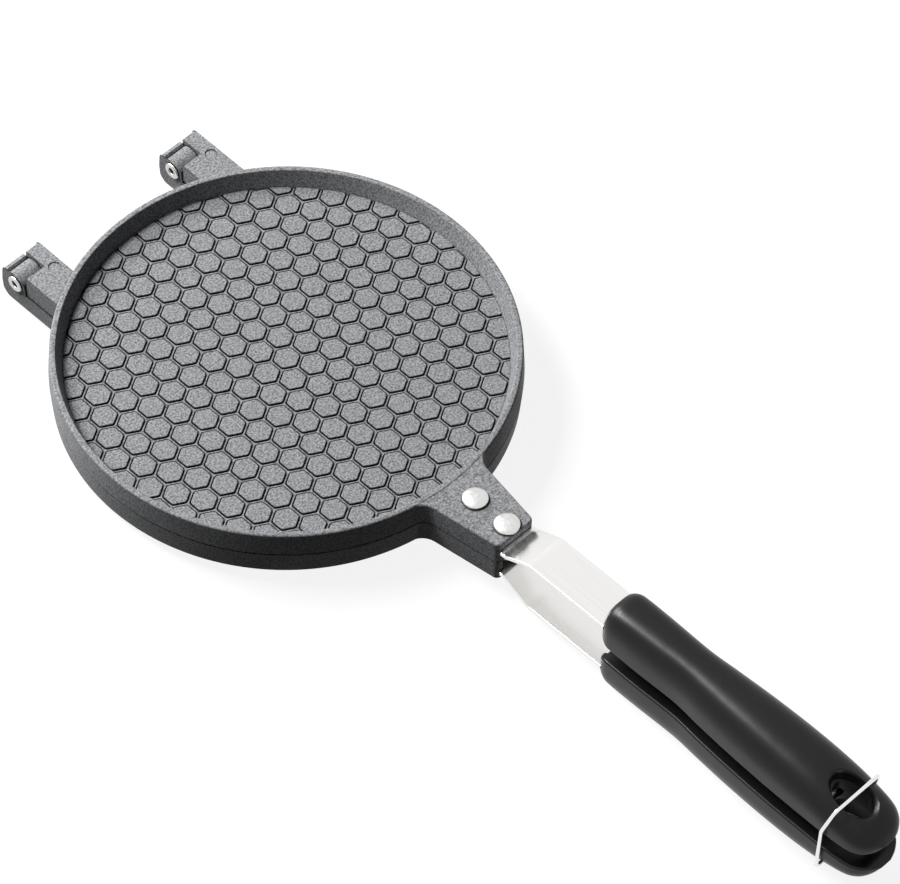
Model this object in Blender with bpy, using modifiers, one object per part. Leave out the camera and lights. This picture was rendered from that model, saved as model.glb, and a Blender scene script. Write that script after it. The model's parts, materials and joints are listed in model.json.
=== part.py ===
"""Egg roll iron: two hinged cast plates on strap handles, held shut by a wire bail.

The plates meet on the parting plane.  X runs along the hinge, -Y along the handles and +Z is up.
Every piece is drawn around the centre of the parting plane, in the pose of the closed iron, and
an empty then lifts the whole iron until its lowest point is at z = 0.
"""
from math import asin, ceil, cos, degrees, pi, radians, sin, sqrt, tan

import bmesh
import bpy
from mathutils import Vector

# Fits: the gap between pieces that seat on each other, and how far a cutter runs past its piece
CLEARANCE = 0.0003
OVERRUN = 0.002
MERGE_DISTANCE = 0.00001

# Cast plates
PLATE_RADIUS = 0.095
PLATE_THICKNESS = 0.0113
PLATE_DRAFT = 0.0007
PLATE_STEPS = 64
RIM_WIDTH = 0.0026
RIM_ROUND = 0.0009
RECESS_DRAFT = 0.0026
WEB_THICKNESS = 0.0021
FLOOR_RELIEF = 0.0007
LAND_WIDTH = 0.0045
BAKE_DEPTH = 0.0010
BAKE_RELIEF = 0.0006

# Honeycomb on the outer and the baking faces
CELL_PITCH = 0.01108
ISLAND_SHARE = 0.85
CELL_SHARP_ANGLE = radians(6)

# Front lug, which holds the strap between two side walls
LUG_END = 0.1286
LUG_END_WIDTH = 0.0193
LUG_TAPER_SHARE = 0.157
LUG_DROP = 0.0003
LUG_SET_BACK = 0.0001
LUG_ROOT_FILLET = 0.008
LUG_ROOT_REACH = 0.011
LUG_CORNER = 0.0025
LUG_ROUND = 0.0014
LUG_ROOF = 0.0033
CHANNEL_LENGTH = 0.0325

# Rivets through each front lug and strap
RIVET_HEAD_RADIUS = 0.0053
RIVET_HEAD_HEIGHT = 0.0023
RIVET_DOME_SHARE = 0.75
RIVET_SHANK_RADIUS = 0.0025
RIVET_TAIL_RADIUS = 0.0038
RIVET_TAIL_HEIGHT = 0.0012
RIVET_EDGE = 0.0053
RIVET_SPACING = 0.0173
RIVET_STEPS = 12

# Straps of flat steel from the lugs to the handles
STRAP_WIDTH = 0.0186
STRAP_THICKNESS = 0.0018
STRAP_LUG_TONGUE = 0.0135
STRAP_HANDLE_TONGUE = 0.0128
STRAP_LIFT = 0.0067
STRAP_LEVEL_RUN = 0.0026
STRAP_RISE_RUN = 0.0132
STRAP_SPAN = 0.0539
STRAP_BEND = 0.005
STRAP_TAB_BEND = 0.0022
STRAP_SHOULDER = 0.0018
STRAP_TONGUE_REACH = 0.0235
STRAP_TAB_DROP = 0.0073

# Moulded handles
HANDLE_LENGTH = 0.1407
HANDLE_WIDTH = 0.0272
HANDLE_DEPTH = 0.0245
HANDLE_STAND_OFF = 0.0044
HANDLE_CROWN_SHARE = 0.30
HANDLE_EDGE = 0.0010
HANDLE_CROWN_STEPS = 8
# Shares along the handle: place, half width, outer height, lift of the inner face, crown squareness
HANDLE_SHARES = (
    (0.000, 0.50, 0.740, 0.160, 2.8),
    (0.012, 0.69, 0.900, 0.060, 2.8),
    (0.040, 0.79, 0.970, 0.000, 2.8),
    (0.130, 0.80, 0.990, 0.000, 2.6),
    (0.280, 0.77, 0.995, 0.000, 2.5),
    (0.390, 0.86, 1.000, 0.000, 2.4),
    (0.510, 0.94, 1.000, 0.000, 2.4),
    (0.670, 0.995, 0.975, 0.000, 2.4),
    (0.750, 1.00, 0.940, 0.000, 2.4),
    (0.820, 1.00, 0.870, 0.000, 2.4),
    (0.865, 0.990, 0.790, 0.000, 2.4),
    (0.905, 0.965, 0.725, 0.000, 2.4),
    (0.940, 0.905, 0.660, 0.000, 2.4),
    (0.968, 0.760, 0.565, 0.010, 2.4),
    (0.988, 0.510, 0.440, 0.040, 2.4),
    (1.000, 0.200, 0.300, 0.110, 2.4),
)

# Socket, core-out and hanging hole of each handle
SOCKET_FLOOR = 0.0054
SOCKET_REACH = 0.0248
CORE_START = 0.0371
CORE_WALL = 0.0094
CORE_WIDTH = 0.0100
CORE_DEPTH = 0.0125
CORE_STEPS = 6
HOLE_FROM_END = 0.0192
HOLE_WIDTH = 0.0125
HOLE_LENGTH = 0.0180
HOLE_FLARE = 0.0028
HOLE_FLARE_DEPTH = 0.0052
HOLE_CROWN_SHARE = 0.790
HOLE_STEPS = 20

# Long screw, washer and nut that draw each strap into its handle
SCREW_RADIUS = 0.0018
SCREW_HEIGHT = 0.0088
SCREW_HEAD_RADIUS = 0.0029
SCREW_HEAD_FLAT_SHARE = 0.7
SCREW_HEAD_HEIGHT = 0.0024
SCREW_COUNTERBORE = 0.0036
SCREW_STEPS = 12
WASHER_RADIUS = 0.0034
WASHER_THICKNESS = 0.0008
NUT_FLATS = 0.0060
NUT_THICKNESS = 0.0032

# Hinge: each lug has the lower plate's ear on its -X side and the upper plate's knuckle on its +X side
HINGE_OFFSET = 0.0431
HINGE_LUG_WIDTH = 0.0164
HINGE_LUG_ROOT = 0.020
HINGE_UPPER_TOP = 0.0100
HINGE_LOWER_BOTTOM = 0.0078
HINGE_ROUND = 0.0007
KNUCKLE_WIDTH = 0.0062
KNUCKLE_RADIUS = 0.0060
KNUCKLE_REACH = 0.0054
KNUCKLE_CORNER = 0.0012
KNUCKLE_END = 330
EAR_PROUD = 0.0006
EAR_RADIUS = 0.0054
EAR_REACH = 0.0078
EAR_CORNER = 0.0044
BARREL_START = 48
SHOULDER_GAP = 0.0059
NOTCH_GAP = 0.0066
STOP_LIP_OUT = 0.0052
STOP_LIP_UP = 0.0046
STOP_LIP_WIDTH = 0.0016
STOP_GROOVE = 0.0012
PIN_OUT = 0.0088
PIN_UP = 0.0030
PIN_RADIUS = 0.0025
PIN_BORE_RADIUS = 0.0016
PIN_HEAD_RADIUS = 0.00375
PIN_HEAD_THICKNESS = 0.0007
PIN_STEPS = 12
ARC_STEPS = 5

# Wire bail, which pivots in the lower handle and passes over the upper one
WIRE_RADIUS = 0.0008
BAIL_PIVOT_DEPTH = 0.0162
BAIL_PIVOT_FROM_END = 0.0209
BAIL_SIDE_GAP = 0.0006
BAIL_KINK_UP = 0.0246
BAIL_KINK_OUT = 0.0003
BAIL_TOP_OUT = 0.0030
BAIL_TOP_LIFT = 0.0003
BAIL_TOP_DRAW_IN = 0.0028
BAIL_END_REACH = 0.0001
BAIL_BEND = 0.0022
BAIL_KINK_BEND = 0.006

# Places that follow from the sizes above
BAKE_RADIUS = PLATE_RADIUS - LAND_WIDTH
FLOOR_HEIGHT = BAKE_DEPTH + WEB_THICKNESS
LUG_TOP = PLATE_THICKNESS - LUG_DROP
LUG_ROOF_HEIGHT = LUG_TOP - LUG_ROOF
STRAP_LUG_LEVEL = LUG_ROOF_HEIGHT - CLEARANCE - STRAP_THICKNESS / 2
STRAP_HANDLE_LEVEL = STRAP_LUG_LEVEL + STRAP_LIFT
HANDLE_FRONT = LUG_END + STRAP_SPAN
HANDLE_END = HANDLE_FRONT + HANDLE_LENGTH
SHOULDER_END = HANDLE_FRONT + STRAP_SHOULDER
TAB_PLACE = HANDLE_FRONT + STRAP_TONGUE_REACH
RIVET_PLACES = (LUG_END - RIVET_EDGE - RIVET_SPACING, LUG_END - RIVET_EDGE)
HOLE_PLACE = HANDLE_END - HOLE_FROM_END
PIN_PLACE = PLATE_RADIUS + PIN_OUT
EAR_WIDTH = HINGE_LUG_WIDTH - KNUCKLE_WIDTH - CLEARANCE + EAR_PROUD
BAIL_PIVOT_PLACE = HANDLE_END - BAIL_PIVOT_FROM_END
PARTING_HEIGHT = HANDLE_DEPTH
PARTING_SHIFT = (HANDLE_END - PIN_PLACE - EAR_REACH) / 2


def new_collection(name):
    """Add an empty collection to the scene."""
    collection = bpy.data.collections.new(name)
    bpy.context.scene.collection.children.link(collection)
    return collection


def clear_scene():
    """Remove every object that is already there."""
    for item in list(bpy.data.objects):
        bpy.data.objects.remove(item, do_unlink=True)


clear_scene()
PIECES = new_collection("egg_roll_iron")
CUTTERS = new_collection("cutters")


def material(name, colour, roughness, metallic):
    """Make a plain material for a piece."""
    result = bpy.data.materials.new(name)
    result.use_nodes = True
    shader = result.node_tree.nodes["Principled BSDF"]
    shader.inputs["Base Color"].default_value = (*colour, 1)
    shader.inputs["Roughness"].default_value = roughness
    shader.inputs["Metallic"].default_value = metallic
    return result


def empty(name, parent=None, place=(0, 0, 0), turn=(0, 0, 0)):
    """Add an axis that carries pieces."""
    axis = bpy.data.objects.new(name, None)
    axis.parent = parent
    axis.location = place
    axis.rotation_euler = turn
    PIECES.objects.link(axis)
    return axis


def carry(item, axis, place=(0, 0, 0), turn=(0, 0, 0)):
    """Hang an object on an axis, with its place given from the centre of the parting plane."""
    item.parent = axis
    item.location = Vector(place) - axis.location
    item.rotation_euler = turn
    return item


def new_object(name, mesh, collection=None):
    """Put a mesh in the scene as an object."""
    item = bpy.data.objects.new(name, mesh)
    (collection or PIECES).objects.link(item)
    return item


def as_cutter(item):
    """Move an object to the cutters."""
    for collection in list(item.users_collection):
        collection.objects.unlink(item)
    CUTTERS.objects.link(item)
    item.hide_render = True
    item.display_type = "WIRE"
    return item


def smooth(item, angle=radians(35)):
    """Shade the round faces of an object smooth and keep its edges sharp."""
    item.data.shade_smooth()
    item.data.set_sharp_from_angle(angle=angle)
    return item


def dress(item, finish):
    """Give an object its material."""
    item.data.materials.clear()
    item.data.materials.append(finish)
    return item


def combine(item, tool, operation):
    """Join another shape to an object, cut it out or keep only what both hold."""
    modifier = item.modifiers.new(tool.name, "BOOLEAN")
    modifier.operation = operation
    modifier.solver = "EXACT"
    modifier.object = tool
    return item


def arc(centre, radius, start, end, steps=ARC_STEPS):
    """Points along an arc in a plane, from one angle to another, in degrees."""
    span = end - start
    angles = [radians(start + span * step / steps) for step in range(steps + 1)]
    return [(centre[0] + radius * cos(angle), centre[1] + radius * sin(angle)) for angle in angles]


def filleted(points, radii, steps=3):
    """Round the inner corners of an open line, each with its own radius."""
    result = [Vector(points[0])]
    for before, corner, after, radius in zip(points, points[1:], points[2:], radii):
        corner = Vector(corner)
        back = (Vector(before) - corner).normalized()
        ahead = (Vector(after) - corner).normalized()
        half = back.angle(ahead) / 2
        bisector = (back + ahead).normalized()
        centre = corner + bisector * (radius / sin(half))
        start = corner + back * (radius / tan(half)) - centre
        end = corner + ahead * (radius / tan(half)) - centre
        swing = start.angle(end)
        for step in range(steps + 1):
            share = step / steps
            spoke = (start * sin((1 - share) * swing) + end * sin(share * swing)) / sin(swing)
            result.append(centre + spoke)
    result.append(Vector(points[-1]))
    return result


def mesh_of(name, shape):
    """Turn a bmesh into a mesh with its faces pointing out."""
    bmesh.ops.recalc_face_normals(shape, faces=shape.faces)
    mesh = bpy.data.meshes.new(name)
    shape.to_mesh(mesh)
    shape.free()
    return mesh


def flat_shape(name, outlines, low, high, turn=(0, 0, 0), place=(0, 0, 0)):
    """Extrude flat outlines from one level to another, as one solid mesh."""
    curve = bpy.data.curves.new(name, "CURVE")
    curve.dimensions = "2D"
    curve.fill_mode = "BOTH"
    curve.extrude = (high - low) / 2
    for outline in outlines:
        spline = curve.splines.new("POLY")
        spline.points.add(len(outline) - 1)
        spline.use_cyclic_u = True
        for point, (across, along) in zip(spline.points, outline):
            point.co = (across, along, 0, 1)
    guide = new_object(name, curve)
    guide.rotation_euler = turn
    bpy.context.view_layer.update()
    middle = guide.matrix_world.to_3x3() @ Vector((0, 0, (low + high) / 2))
    guide.location = Vector(place) + middle
    bpy.context.view_layer.update()
    evaluated = guide.evaluated_get(bpy.context.evaluated_depsgraph_get())
    shape = bmesh.new()
    shape.from_mesh(bpy.data.meshes.new_from_object(evaluated))
    shape.transform(guide.matrix_world)
    bmesh.ops.remove_doubles(shape, verts=shape.verts, dist=MERGE_DISTANCE)
    bmesh.ops.dissolve_limit(shape, angle_limit=radians(1), verts=shape.verts, edges=shape.edges)
    bpy.data.objects.remove(guide, do_unlink=True)
    return shape


def plan_solid(name, outline, low, high, round_top=0):
    """A solid from an outline seen from above, with its top edges rounded."""
    shape = flat_shape(name, [outline], low, high)
    if round_top:
        top = [edge for edge in shape.edges if all(high - v.co.z < MERGE_DISTANCE for v in edge.verts)]
        bmesh.ops.bevel(shape, geom=top, offset=round_top, segments=2, profile=0.5, affect="EDGES")
    return new_object(name, mesh_of(name, shape))


def side_solid(name, outline, left, right, round_sides=0):
    """A solid from an outline of (y, z) points, which runs along X."""
    shape = flat_shape(name, [outline], left, right, turn=(pi / 2, 0, pi / 2))
    if round_sides:
        sides = []
        for edge in shape.edges:
            first, second = edge.verts
            if abs(first.co.x - second.co.x) < MERGE_DISTANCE:
                sides.append(edge)
        bmesh.ops.bevel(shape, geom=sides, offset=round_sides, segments=1, profile=0.5, affect="EDGES")
    return new_object(name, mesh_of(name, shape))


def turned(name, profile, steps):
    """A turned solid from (radius, height) points; a ring's points close on the first."""
    mesh = bpy.data.meshes.new(name)
    points = [(radius, 0, height) for radius, height in profile]
    edges = [(i, i + 1) for i in range(len(points) - 1)]
    if profile[0][0]:
        edges.append((len(points) - 1, 0))
    mesh.from_pydata(points, edges, [])
    item = new_object(name, mesh)
    modifier = item.modifiers.new("turn", "SCREW")
    modifier.axis = "Z"
    modifier.steps = steps
    modifier.render_steps = steps
    modifier.use_merge_vertices = True
    modifier.merge_threshold = MERGE_DISTANCE
    modifier.use_smooth_shade = True
    return item


def cell_centres(reach):
    """Centres of the honeycomb's cells out to a radius, with one cell on the plate's axis."""
    row_step = CELL_PITCH * sqrt(3) / 2
    rows = ceil(reach / row_step)
    columns = ceil(reach / CELL_PITCH) + 1
    centres = []
    for row in range(-rows, rows + 1):
        shift = CELL_PITCH / 2 if row % 2 else 0
        for column in range(-columns, columns + 1):
            centre = Vector((column * CELL_PITCH + shift, row * row_step, 0))
            if centre.length < reach:
                centres.append(centre)
    return centres


def corners(centre, radius, height):
    """The six corners of a cell whose points lie towards the handle."""
    turns = [radians(30 + 60 * side) for side in range(6)]
    return [Vector((centre.x + radius * cos(a), centre.y + radius * sin(a), height)) for a in turns]


def honeycomb_block(name, reach, groove, crest, cap, flat_tops):
    """A block whose one face is a honeycomb of raised cells with grooves between them."""
    shape = bmesh.new()
    outer_radius = CELL_PITCH / sqrt(3)
    for centre in cell_centres(reach + CELL_PITCH):
        rim = [shape.verts.new(point) for point in corners(centre, outer_radius, groove)]
        if flat_tops:
            top = [shape.verts.new(point) for point in corners(centre, outer_radius * ISLAND_SHARE, crest)]
            shape.faces.new(top)
            for side in range(6):
                shape.faces.new((rim[side - 1], rim[side], top[side], top[side - 1]))
        else:
            peak = shape.verts.new((centre.x, centre.y, crest))
            for side in range(6):
                shape.faces.new((rim[side - 1], rim[side], peak))
    bmesh.ops.remove_doubles(shape, verts=shape.verts, dist=MERGE_DISTANCE)
    border = [edge for edge in shape.edges if edge.is_boundary]
    walls = bmesh.ops.extrude_edge_only(shape, edges=border)["geom"]
    for vertex in [item for item in walls if isinstance(item, bmesh.types.BMVert)]:
        vertex.co.z = cap
    open_edges = [edge for edge in shape.edges if edge.is_boundary]
    bmesh.ops.contextual_create(shape, geom=open_edges)
    return as_cutter(new_object(name, mesh_of(name, shape)))


def recess_cutter(name, axis, flat_tops):
    """What the mould leaves open above the plate's outer face, honeycomb floor included."""
    floor_radius = PLATE_RADIUS - PLATE_DRAFT - RIM_WIDTH - RECESS_DRAFT
    rim_radius = PLATE_RADIUS - PLATE_DRAFT - RIM_WIDTH
    top = PLATE_THICKNESS + OVERRUN
    profile = [
        (0, top),
        (rim_radius + OVERRUN, top),
        (rim_radius, PLATE_THICKNESS),
        (floor_radius - FLOOR_RELIEF / 2, FLOOR_HEIGHT - FLOOR_RELIEF / 2),
        (0, FLOOR_HEIGHT - FLOOR_RELIEF / 2),
    ]
    well = as_cutter(turned(name, profile, PLATE_STEPS))
    floor = honeycomb_block(name + "_floor", rim_radius, FLOOR_HEIGHT, FLOOR_HEIGHT + FLOOR_RELIEF,
                            PLATE_THICKNESS + OVERRUN + OVERRUN, flat_tops)
    combine(well, floor, "INTERSECT")
    carry(floor, axis)
    return carry(well, axis)


def bake_cutter(name, axis):
    """The shallow baking face inside the land, honeycomb included."""
    profile = [
        (0, BAKE_DEPTH + OVERRUN / 4),
        (BAKE_RADIUS - BAKE_DEPTH, BAKE_DEPTH + OVERRUN / 4),
        (BAKE_RADIUS, CLEARANCE / 2),
        (BAKE_RADIUS, -OVERRUN),
        (0, -OVERRUN),
    ]
    well = as_cutter(turned(name, profile, PLATE_STEPS))
    floor = honeycomb_block(name + "_floor", BAKE_RADIUS, BAKE_DEPTH, BAKE_DEPTH - BAKE_RELIEF,
                            -OVERRUN - OVERRUN, False)
    combine(well, floor, "INTERSECT")
    carry(floor, axis)
    return carry(well, axis)


def lug_half_width(place):
    """Half the width of the front lug at a distance from the plate's centre."""
    return LUG_END_WIDTH / 2 + LUG_TAPER_SHARE * (LUG_END - place)


def front_lug(name, axis):
    """The tapered lug that carries the strap, flared where it meets the plate."""
    root = PLATE_RADIUS - PLATE_DRAFT
    root_half = lug_half_width(root)
    root_place = sqrt(root ** 2 - root_half ** 2)
    flare_half = root_half + LUG_ROOT_REACH
    flare_place = sqrt(root ** 2 - flare_half ** 2)
    inner_place = flare_place - RIM_WIDTH
    right = [
        (0, -LUG_END, 0),
        (LUG_END_WIDTH / 2, -LUG_END, 0),
        (lug_half_width(root_place), -root_place, 0),
        (flare_half, -flare_place, 0),
        (flare_half, -inner_place, 0),
    ]
    rounded = filleted(right, (LUG_CORNER, LUG_ROOT_FILLET, RIM_ROUND))
    half = [(point.x, point.y) for point in rounded[1:]]
    outline = half + [(-x, y) for x, y in reversed(half)]
    lug = plan_solid(name, outline, CLEARANCE / 2 + LUG_SET_BACK, LUG_TOP, LUG_ROUND)
    return carry(as_cutter(lug), axis)


def lug_channel(name, axis):
    """The open channel under the lug's roof, where the strap lies."""
    half = STRAP_LUG_TONGUE / 2 + CLEARANCE
    start = LUG_END - CHANNEL_LENGTH
    outline = [(half, -start), (-half, -start), (-half, -LUG_END - OVERRUN), (half, -LUG_END - OVERRUN)]
    return carry(as_cutter(plan_solid(name, outline, -OVERRUN, LUG_ROOF_HEIGHT)), axis)


def drill(name, axis, radius, place, low, high, turn=(0, 0, 0), steps=RIVET_STEPS):
    """A round cutter that runs from one level to another along its own axis."""
    profile = [(0, high), (radius, high), (radius, low), (0, low)]
    return carry(as_cutter(turned(name, profile, steps)), axis, place, turn)


def plate_blank(name, axis):
    """The plate before its faces are sunk: a drafted disc with a rounded rim."""
    low = CLEARANCE / 2
    rim = PLATE_RADIUS - PLATE_DRAFT
    profile = [
        (0, PLATE_THICKNESS),
        (rim - RIM_ROUND, PLATE_THICKNESS),
        (rim, PLATE_THICKNESS - RIM_ROUND),
        (PLATE_RADIUS, low),
        (0, low),
    ]
    return carry(turned(name, profile, PLATE_STEPS), axis)


def notched(lug, axis, left, right, start):
    """Cut one side of a hinge lug away from a distance onwards, which leaves room for its mate."""
    end = PIN_PLACE + EAR_REACH + OVERRUN
    outline = [(left, start), (right, start), (right, end), (left, end)]
    notch = plan_solid(lug.name + "_notch", outline, -HINGE_LOWER_BOTTOM - OVERRUN, HINGE_UPPER_TOP + OVERRUN)
    return combine(lug, carry(as_cutter(notch), axis), "DIFFERENCE")


def upper_hinge_lug(name, axis, centre):
    """A hinge lug of the upper plate, which ends in a knuckle around the pin on its +X side."""
    left = centre - HINGE_LUG_WIDTH / 2
    right = centre + HINGE_LUG_WIDTH / 2
    start = PLATE_RADIUS - HINGE_LUG_ROOT
    low = CLEARANCE / 2 + LUG_SET_BACK
    drop = degrees(asin((PIN_UP - low) / KNUCKLE_RADIUS))
    under = arc((PIN_PLACE, PIN_UP), KNUCKLE_RADIUS, 180 + drop, KNUCKLE_END, ARC_STEPS + 2)
    top_corner = arc((PIN_PLACE + KNUCKLE_REACH - KNUCKLE_CORNER, HINGE_UPPER_TOP - KNUCKLE_CORNER),
                     KNUCKLE_CORNER, 0, 90, 2)
    outline = [(start, low), *under, *top_corner, (start, HINGE_UPPER_TOP)]
    lug = carry(as_cutter(side_solid(name, outline, left, right, HINGE_ROUND)), axis)
    return notched(lug, axis, left - OVERRUN, right - KNUCKLE_WIDTH, PIN_PLACE - SHOULDER_GAP)


def lower_hinge_lug(name, axis, centre):
    """A hinge lug of the lower plate, which ends in an ear with a barrel and a stop lip on its -X side."""
    left = centre - HINGE_LUG_WIDTH / 2 - EAR_PROUD
    right = centre + HINGE_LUG_WIDTH / 2
    start = PLATE_RADIUS - HINGE_LUG_ROOT
    high = -CLEARANCE / 2 - LUG_SET_BACK
    low = -HINGE_LOWER_BOTTOM
    outer = PIN_PLACE + EAR_REACH
    bottom = arc((outer - EAR_CORNER, low + EAR_CORNER), EAR_CORNER, 270, 360, ARC_STEPS - 1)
    lip_in = (PIN_PLACE + STOP_LIP_OUT, PIN_UP + STOP_LIP_UP)
    lip_out = (lip_in[0] + STOP_LIP_WIDTH, lip_in[1] - STOP_LIP_WIDTH / 3)
    lip_side = (outer, lip_out[1] - STOP_LIP_WIDTH)
    groove = (lip_in[0] - STOP_GROOVE, lip_in[1] - STOP_GROOVE)
    barrel = arc((PIN_PLACE, PIN_UP), EAR_RADIUS, BARREL_START, 180, ARC_STEPS + 1)
    inner = PIN_PLACE - EAR_RADIUS
    lip = [lip_side, lip_out, lip_in, groove]
    outline = [(start, low), *bottom, *lip, *barrel, (inner, high), (start, high)]
    lug = carry(as_cutter(side_solid(name, outline, left, right)), axis)
    return notched(lug, axis, left + EAR_WIDTH, right + OVERRUN, PIN_PLACE - NOTCH_GAP)


def finish_plate(plate, half, hinge_lugs, flat_tops):
    """Join the lugs to a plate, then sink its faces, its channel and its holes."""
    name = plate.name
    combine(plate, front_lug(name + "_lug", half), "UNION")
    for lug in hinge_lugs:
        combine(plate, lug, "UNION")
    combine(plate, recess_cutter(name + "_recess", half, flat_tops), "DIFFERENCE")
    combine(plate, bake_cutter(name + "_bake", half), "DIFFERENCE")
    combine(plate, lug_channel(name + "_channel", half), "DIFFERENCE")
    for number, place in enumerate(RIVET_PLACES):
        hole = drill(f"{name}_rivet_hole_{number}", half, RIVET_SHANK_RADIUS + CLEARANCE, (0, -place, 0),
                     0, LUG_TOP + OVERRUN)
        combine(plate, hole, "DIFFERENCE")
    for side in (-1, 1):
        place = (side * HINGE_OFFSET, PIN_PLACE, PIN_UP)
        bore = drill(f"{name}_pin_bore_{side}", half_of_world(half), PIN_RADIUS + CLEARANCE, place,
                     -HINGE_LUG_WIDTH, HINGE_LUG_WIDTH, (0, pi / 2, 0))
        combine(plate, bore, "DIFFERENCE")
    return smooth(plate, CELL_SHARP_ANGLE)


def half_of_world(half):
    """The axis whose X, Y and Z are the iron's own, for holes that both plates share."""
    return half if half.name == "lid_axis" else AXES["base"]


def hinge_pin(name, axis, centre):
    """A tubular rivet with a flared ring at each end, which is the pin of one hinge."""
    half = (HINGE_LUG_WIDTH + EAR_PROUD) / 2 + CLEARANCE
    end = half + PIN_HEAD_THICKNESS
    edge = PIN_HEAD_RADIUS - PIN_BORE_RADIUS
    profile = [
        (PIN_BORE_RADIUS, -end),
        (PIN_BORE_RADIUS, end),
        (PIN_BORE_RADIUS + edge / 2, end),
        (PIN_HEAD_RADIUS, half + PIN_HEAD_THICKNESS / 3),
        (PIN_HEAD_RADIUS, half),
        (PIN_RADIUS, half),
        (PIN_RADIUS, -half),
        (PIN_HEAD_RADIUS, -half),
        (PIN_HEAD_RADIUS, -half - PIN_HEAD_THICKNESS / 3),
        (PIN_BORE_RADIUS + edge / 2, -end),
    ]
    pin = turned(name, profile, PIN_STEPS)
    return carry(pin, axis, (centre - EAR_PROUD / 2, PIN_PLACE, PIN_UP), (0, pi / 2, 0))


def rivet(name, axis, place):
    """A rivet with a domed head on the lug and a flat tail under the strap."""
    seat = LUG_TOP + CLEARANCE
    tail = STRAP_LUG_LEVEL - STRAP_THICKNESS / 2 - CLEARANCE
    rise = RIVET_HEAD_HEIGHT * RIVET_DOME_SHARE
    lip = seat + RIVET_HEAD_HEIGHT - rise
    dome = [(RIVET_HEAD_RADIUS * sin(a), lip + rise * cos(a)) for a in (0, pi / 6, pi / 3, pi / 2)]
    profile = dome + [
        (RIVET_HEAD_RADIUS, seat),
        (RIVET_SHANK_RADIUS, seat),
        (RIVET_SHANK_RADIUS, tail),
        (RIVET_TAIL_RADIUS, tail),
        (RIVET_TAIL_RADIUS, tail - RIVET_TAIL_HEIGHT / 2),
        (RIVET_SHANK_RADIUS, tail - RIVET_TAIL_HEIGHT),
        (0, tail - RIVET_TAIL_HEIGHT),
    ]
    return carry(turned(name, profile, RIVET_STEPS), axis, (0, -place, 0))


def strap(name, axis):
    """A strap of flat steel: a riveted tongue, a rise, a level run and a turned-down tab in the handle."""
    start = LUG_END - CHANNEL_LENGTH + CLEARANCE
    rise = LUG_END + STRAP_LEVEL_RUN
    line = [
        (0, -start, STRAP_LUG_LEVEL),
        (0, -rise, STRAP_LUG_LEVEL),
        (0, -rise - STRAP_RISE_RUN, STRAP_HANDLE_LEVEL),
        (0, -TAB_PLACE, STRAP_HANDLE_LEVEL),
        (0, -TAB_PLACE, STRAP_HANDLE_LEVEL - STRAP_TAB_DROP),
    ]
    bends = filleted(line, (STRAP_BEND, STRAP_BEND, STRAP_TAB_BEND))
    half = STRAP_WIDTH / 2
    shape = bmesh.new()
    left = [shape.verts.new((-half, point.y, point.z)) for point in bends]
    right = [shape.verts.new((half, point.y, point.z)) for point in bends]
    for number in range(len(bends) - 1):
        shape.faces.new((left[number], left[number + 1], right[number + 1], right[number]))
    item = new_object(name, mesh_of(name, shape))
    modifier = item.modifiers.new("gauge", "SOLIDIFY")
    modifier.thickness = STRAP_THICKNESS
    modifier.offset = 0
    modifier.use_even_offset = True
    lug_half = STRAP_LUG_TONGUE / 2
    tongue_half = STRAP_HANDLE_TONGUE / 2
    lug_face = LUG_END + CLEARANCE
    reach = TAB_PLACE + STRAP_THICKNESS
    right_side = [(lug_half, -start + OVERRUN), (lug_half, -lug_face), (half + OVERRUN, -lug_face),
                  (half + OVERRUN, -SHOULDER_END), (tongue_half, -SHOULDER_END), (tongue_half, -reach)]
    outline = right_side + [(-x, y) for x, y in reversed(right_side)]
    blank = as_cutter(plan_solid(name + "_blank", outline, -OVERRUN, STRAP_HANDLE_LEVEL + OVERRUN))
    combine(item, carry(blank, axis), "INTERSECT")
    for number, place in enumerate(RIVET_PLACES):
        hole = drill(f"{name}_hole_{number}", axis, RIVET_SHANK_RADIUS + CLEARANCE, (0, -place, 0),
                     0, LUG_TOP)
        combine(item, hole, "DIFFERENCE")
    screw_hole = drill(name + "_screw_hole", axis, SCREW_RADIUS + CLEARANCE, (0, -TAB_PLACE, SCREW_HEIGHT),
                       -OVERRUN, OVERRUN, (pi / 2, 0, 0), SCREW_STEPS)
    combine(item, screw_hole, "DIFFERENCE")
    return smooth(carry(item, axis))


def handle_section(shares):
    """The closed outline of a handle at one station, in X and Z, from the shares of its sizes."""
    place, width, height, lift, squareness = shares
    half = HANDLE_WIDTH / 2 * width
    top = HANDLE_DEPTH * height
    bottom = HANDLE_STAND_OFF + HANDLE_DEPTH * lift
    crown = bottom + (top - bottom) * HANDLE_CROWN_SHARE
    edge = min(HANDLE_EDGE, half / 2, (crown - bottom) / 2)
    points = [(-half + edge, bottom), (half - edge, bottom), (half, bottom + edge)]
    for step in range(HANDLE_CROWN_STEPS + 1):
        angle = pi * step / HANDLE_CROWN_STEPS
        across = abs(cos(angle)) ** (2 / squareness) * (1 if angle < pi / 2 else -1)
        up = sin(angle) ** (2 / squareness) if 0 < step < HANDLE_CROWN_STEPS else 0
        points.append((half * across, crown + (top - crown) * up))
    points.append((-half, bottom + edge))
    along = -HANDLE_FRONT - HANDLE_LENGTH * place
    return [Vector((x, along, z)) for x, z in points]


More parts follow.
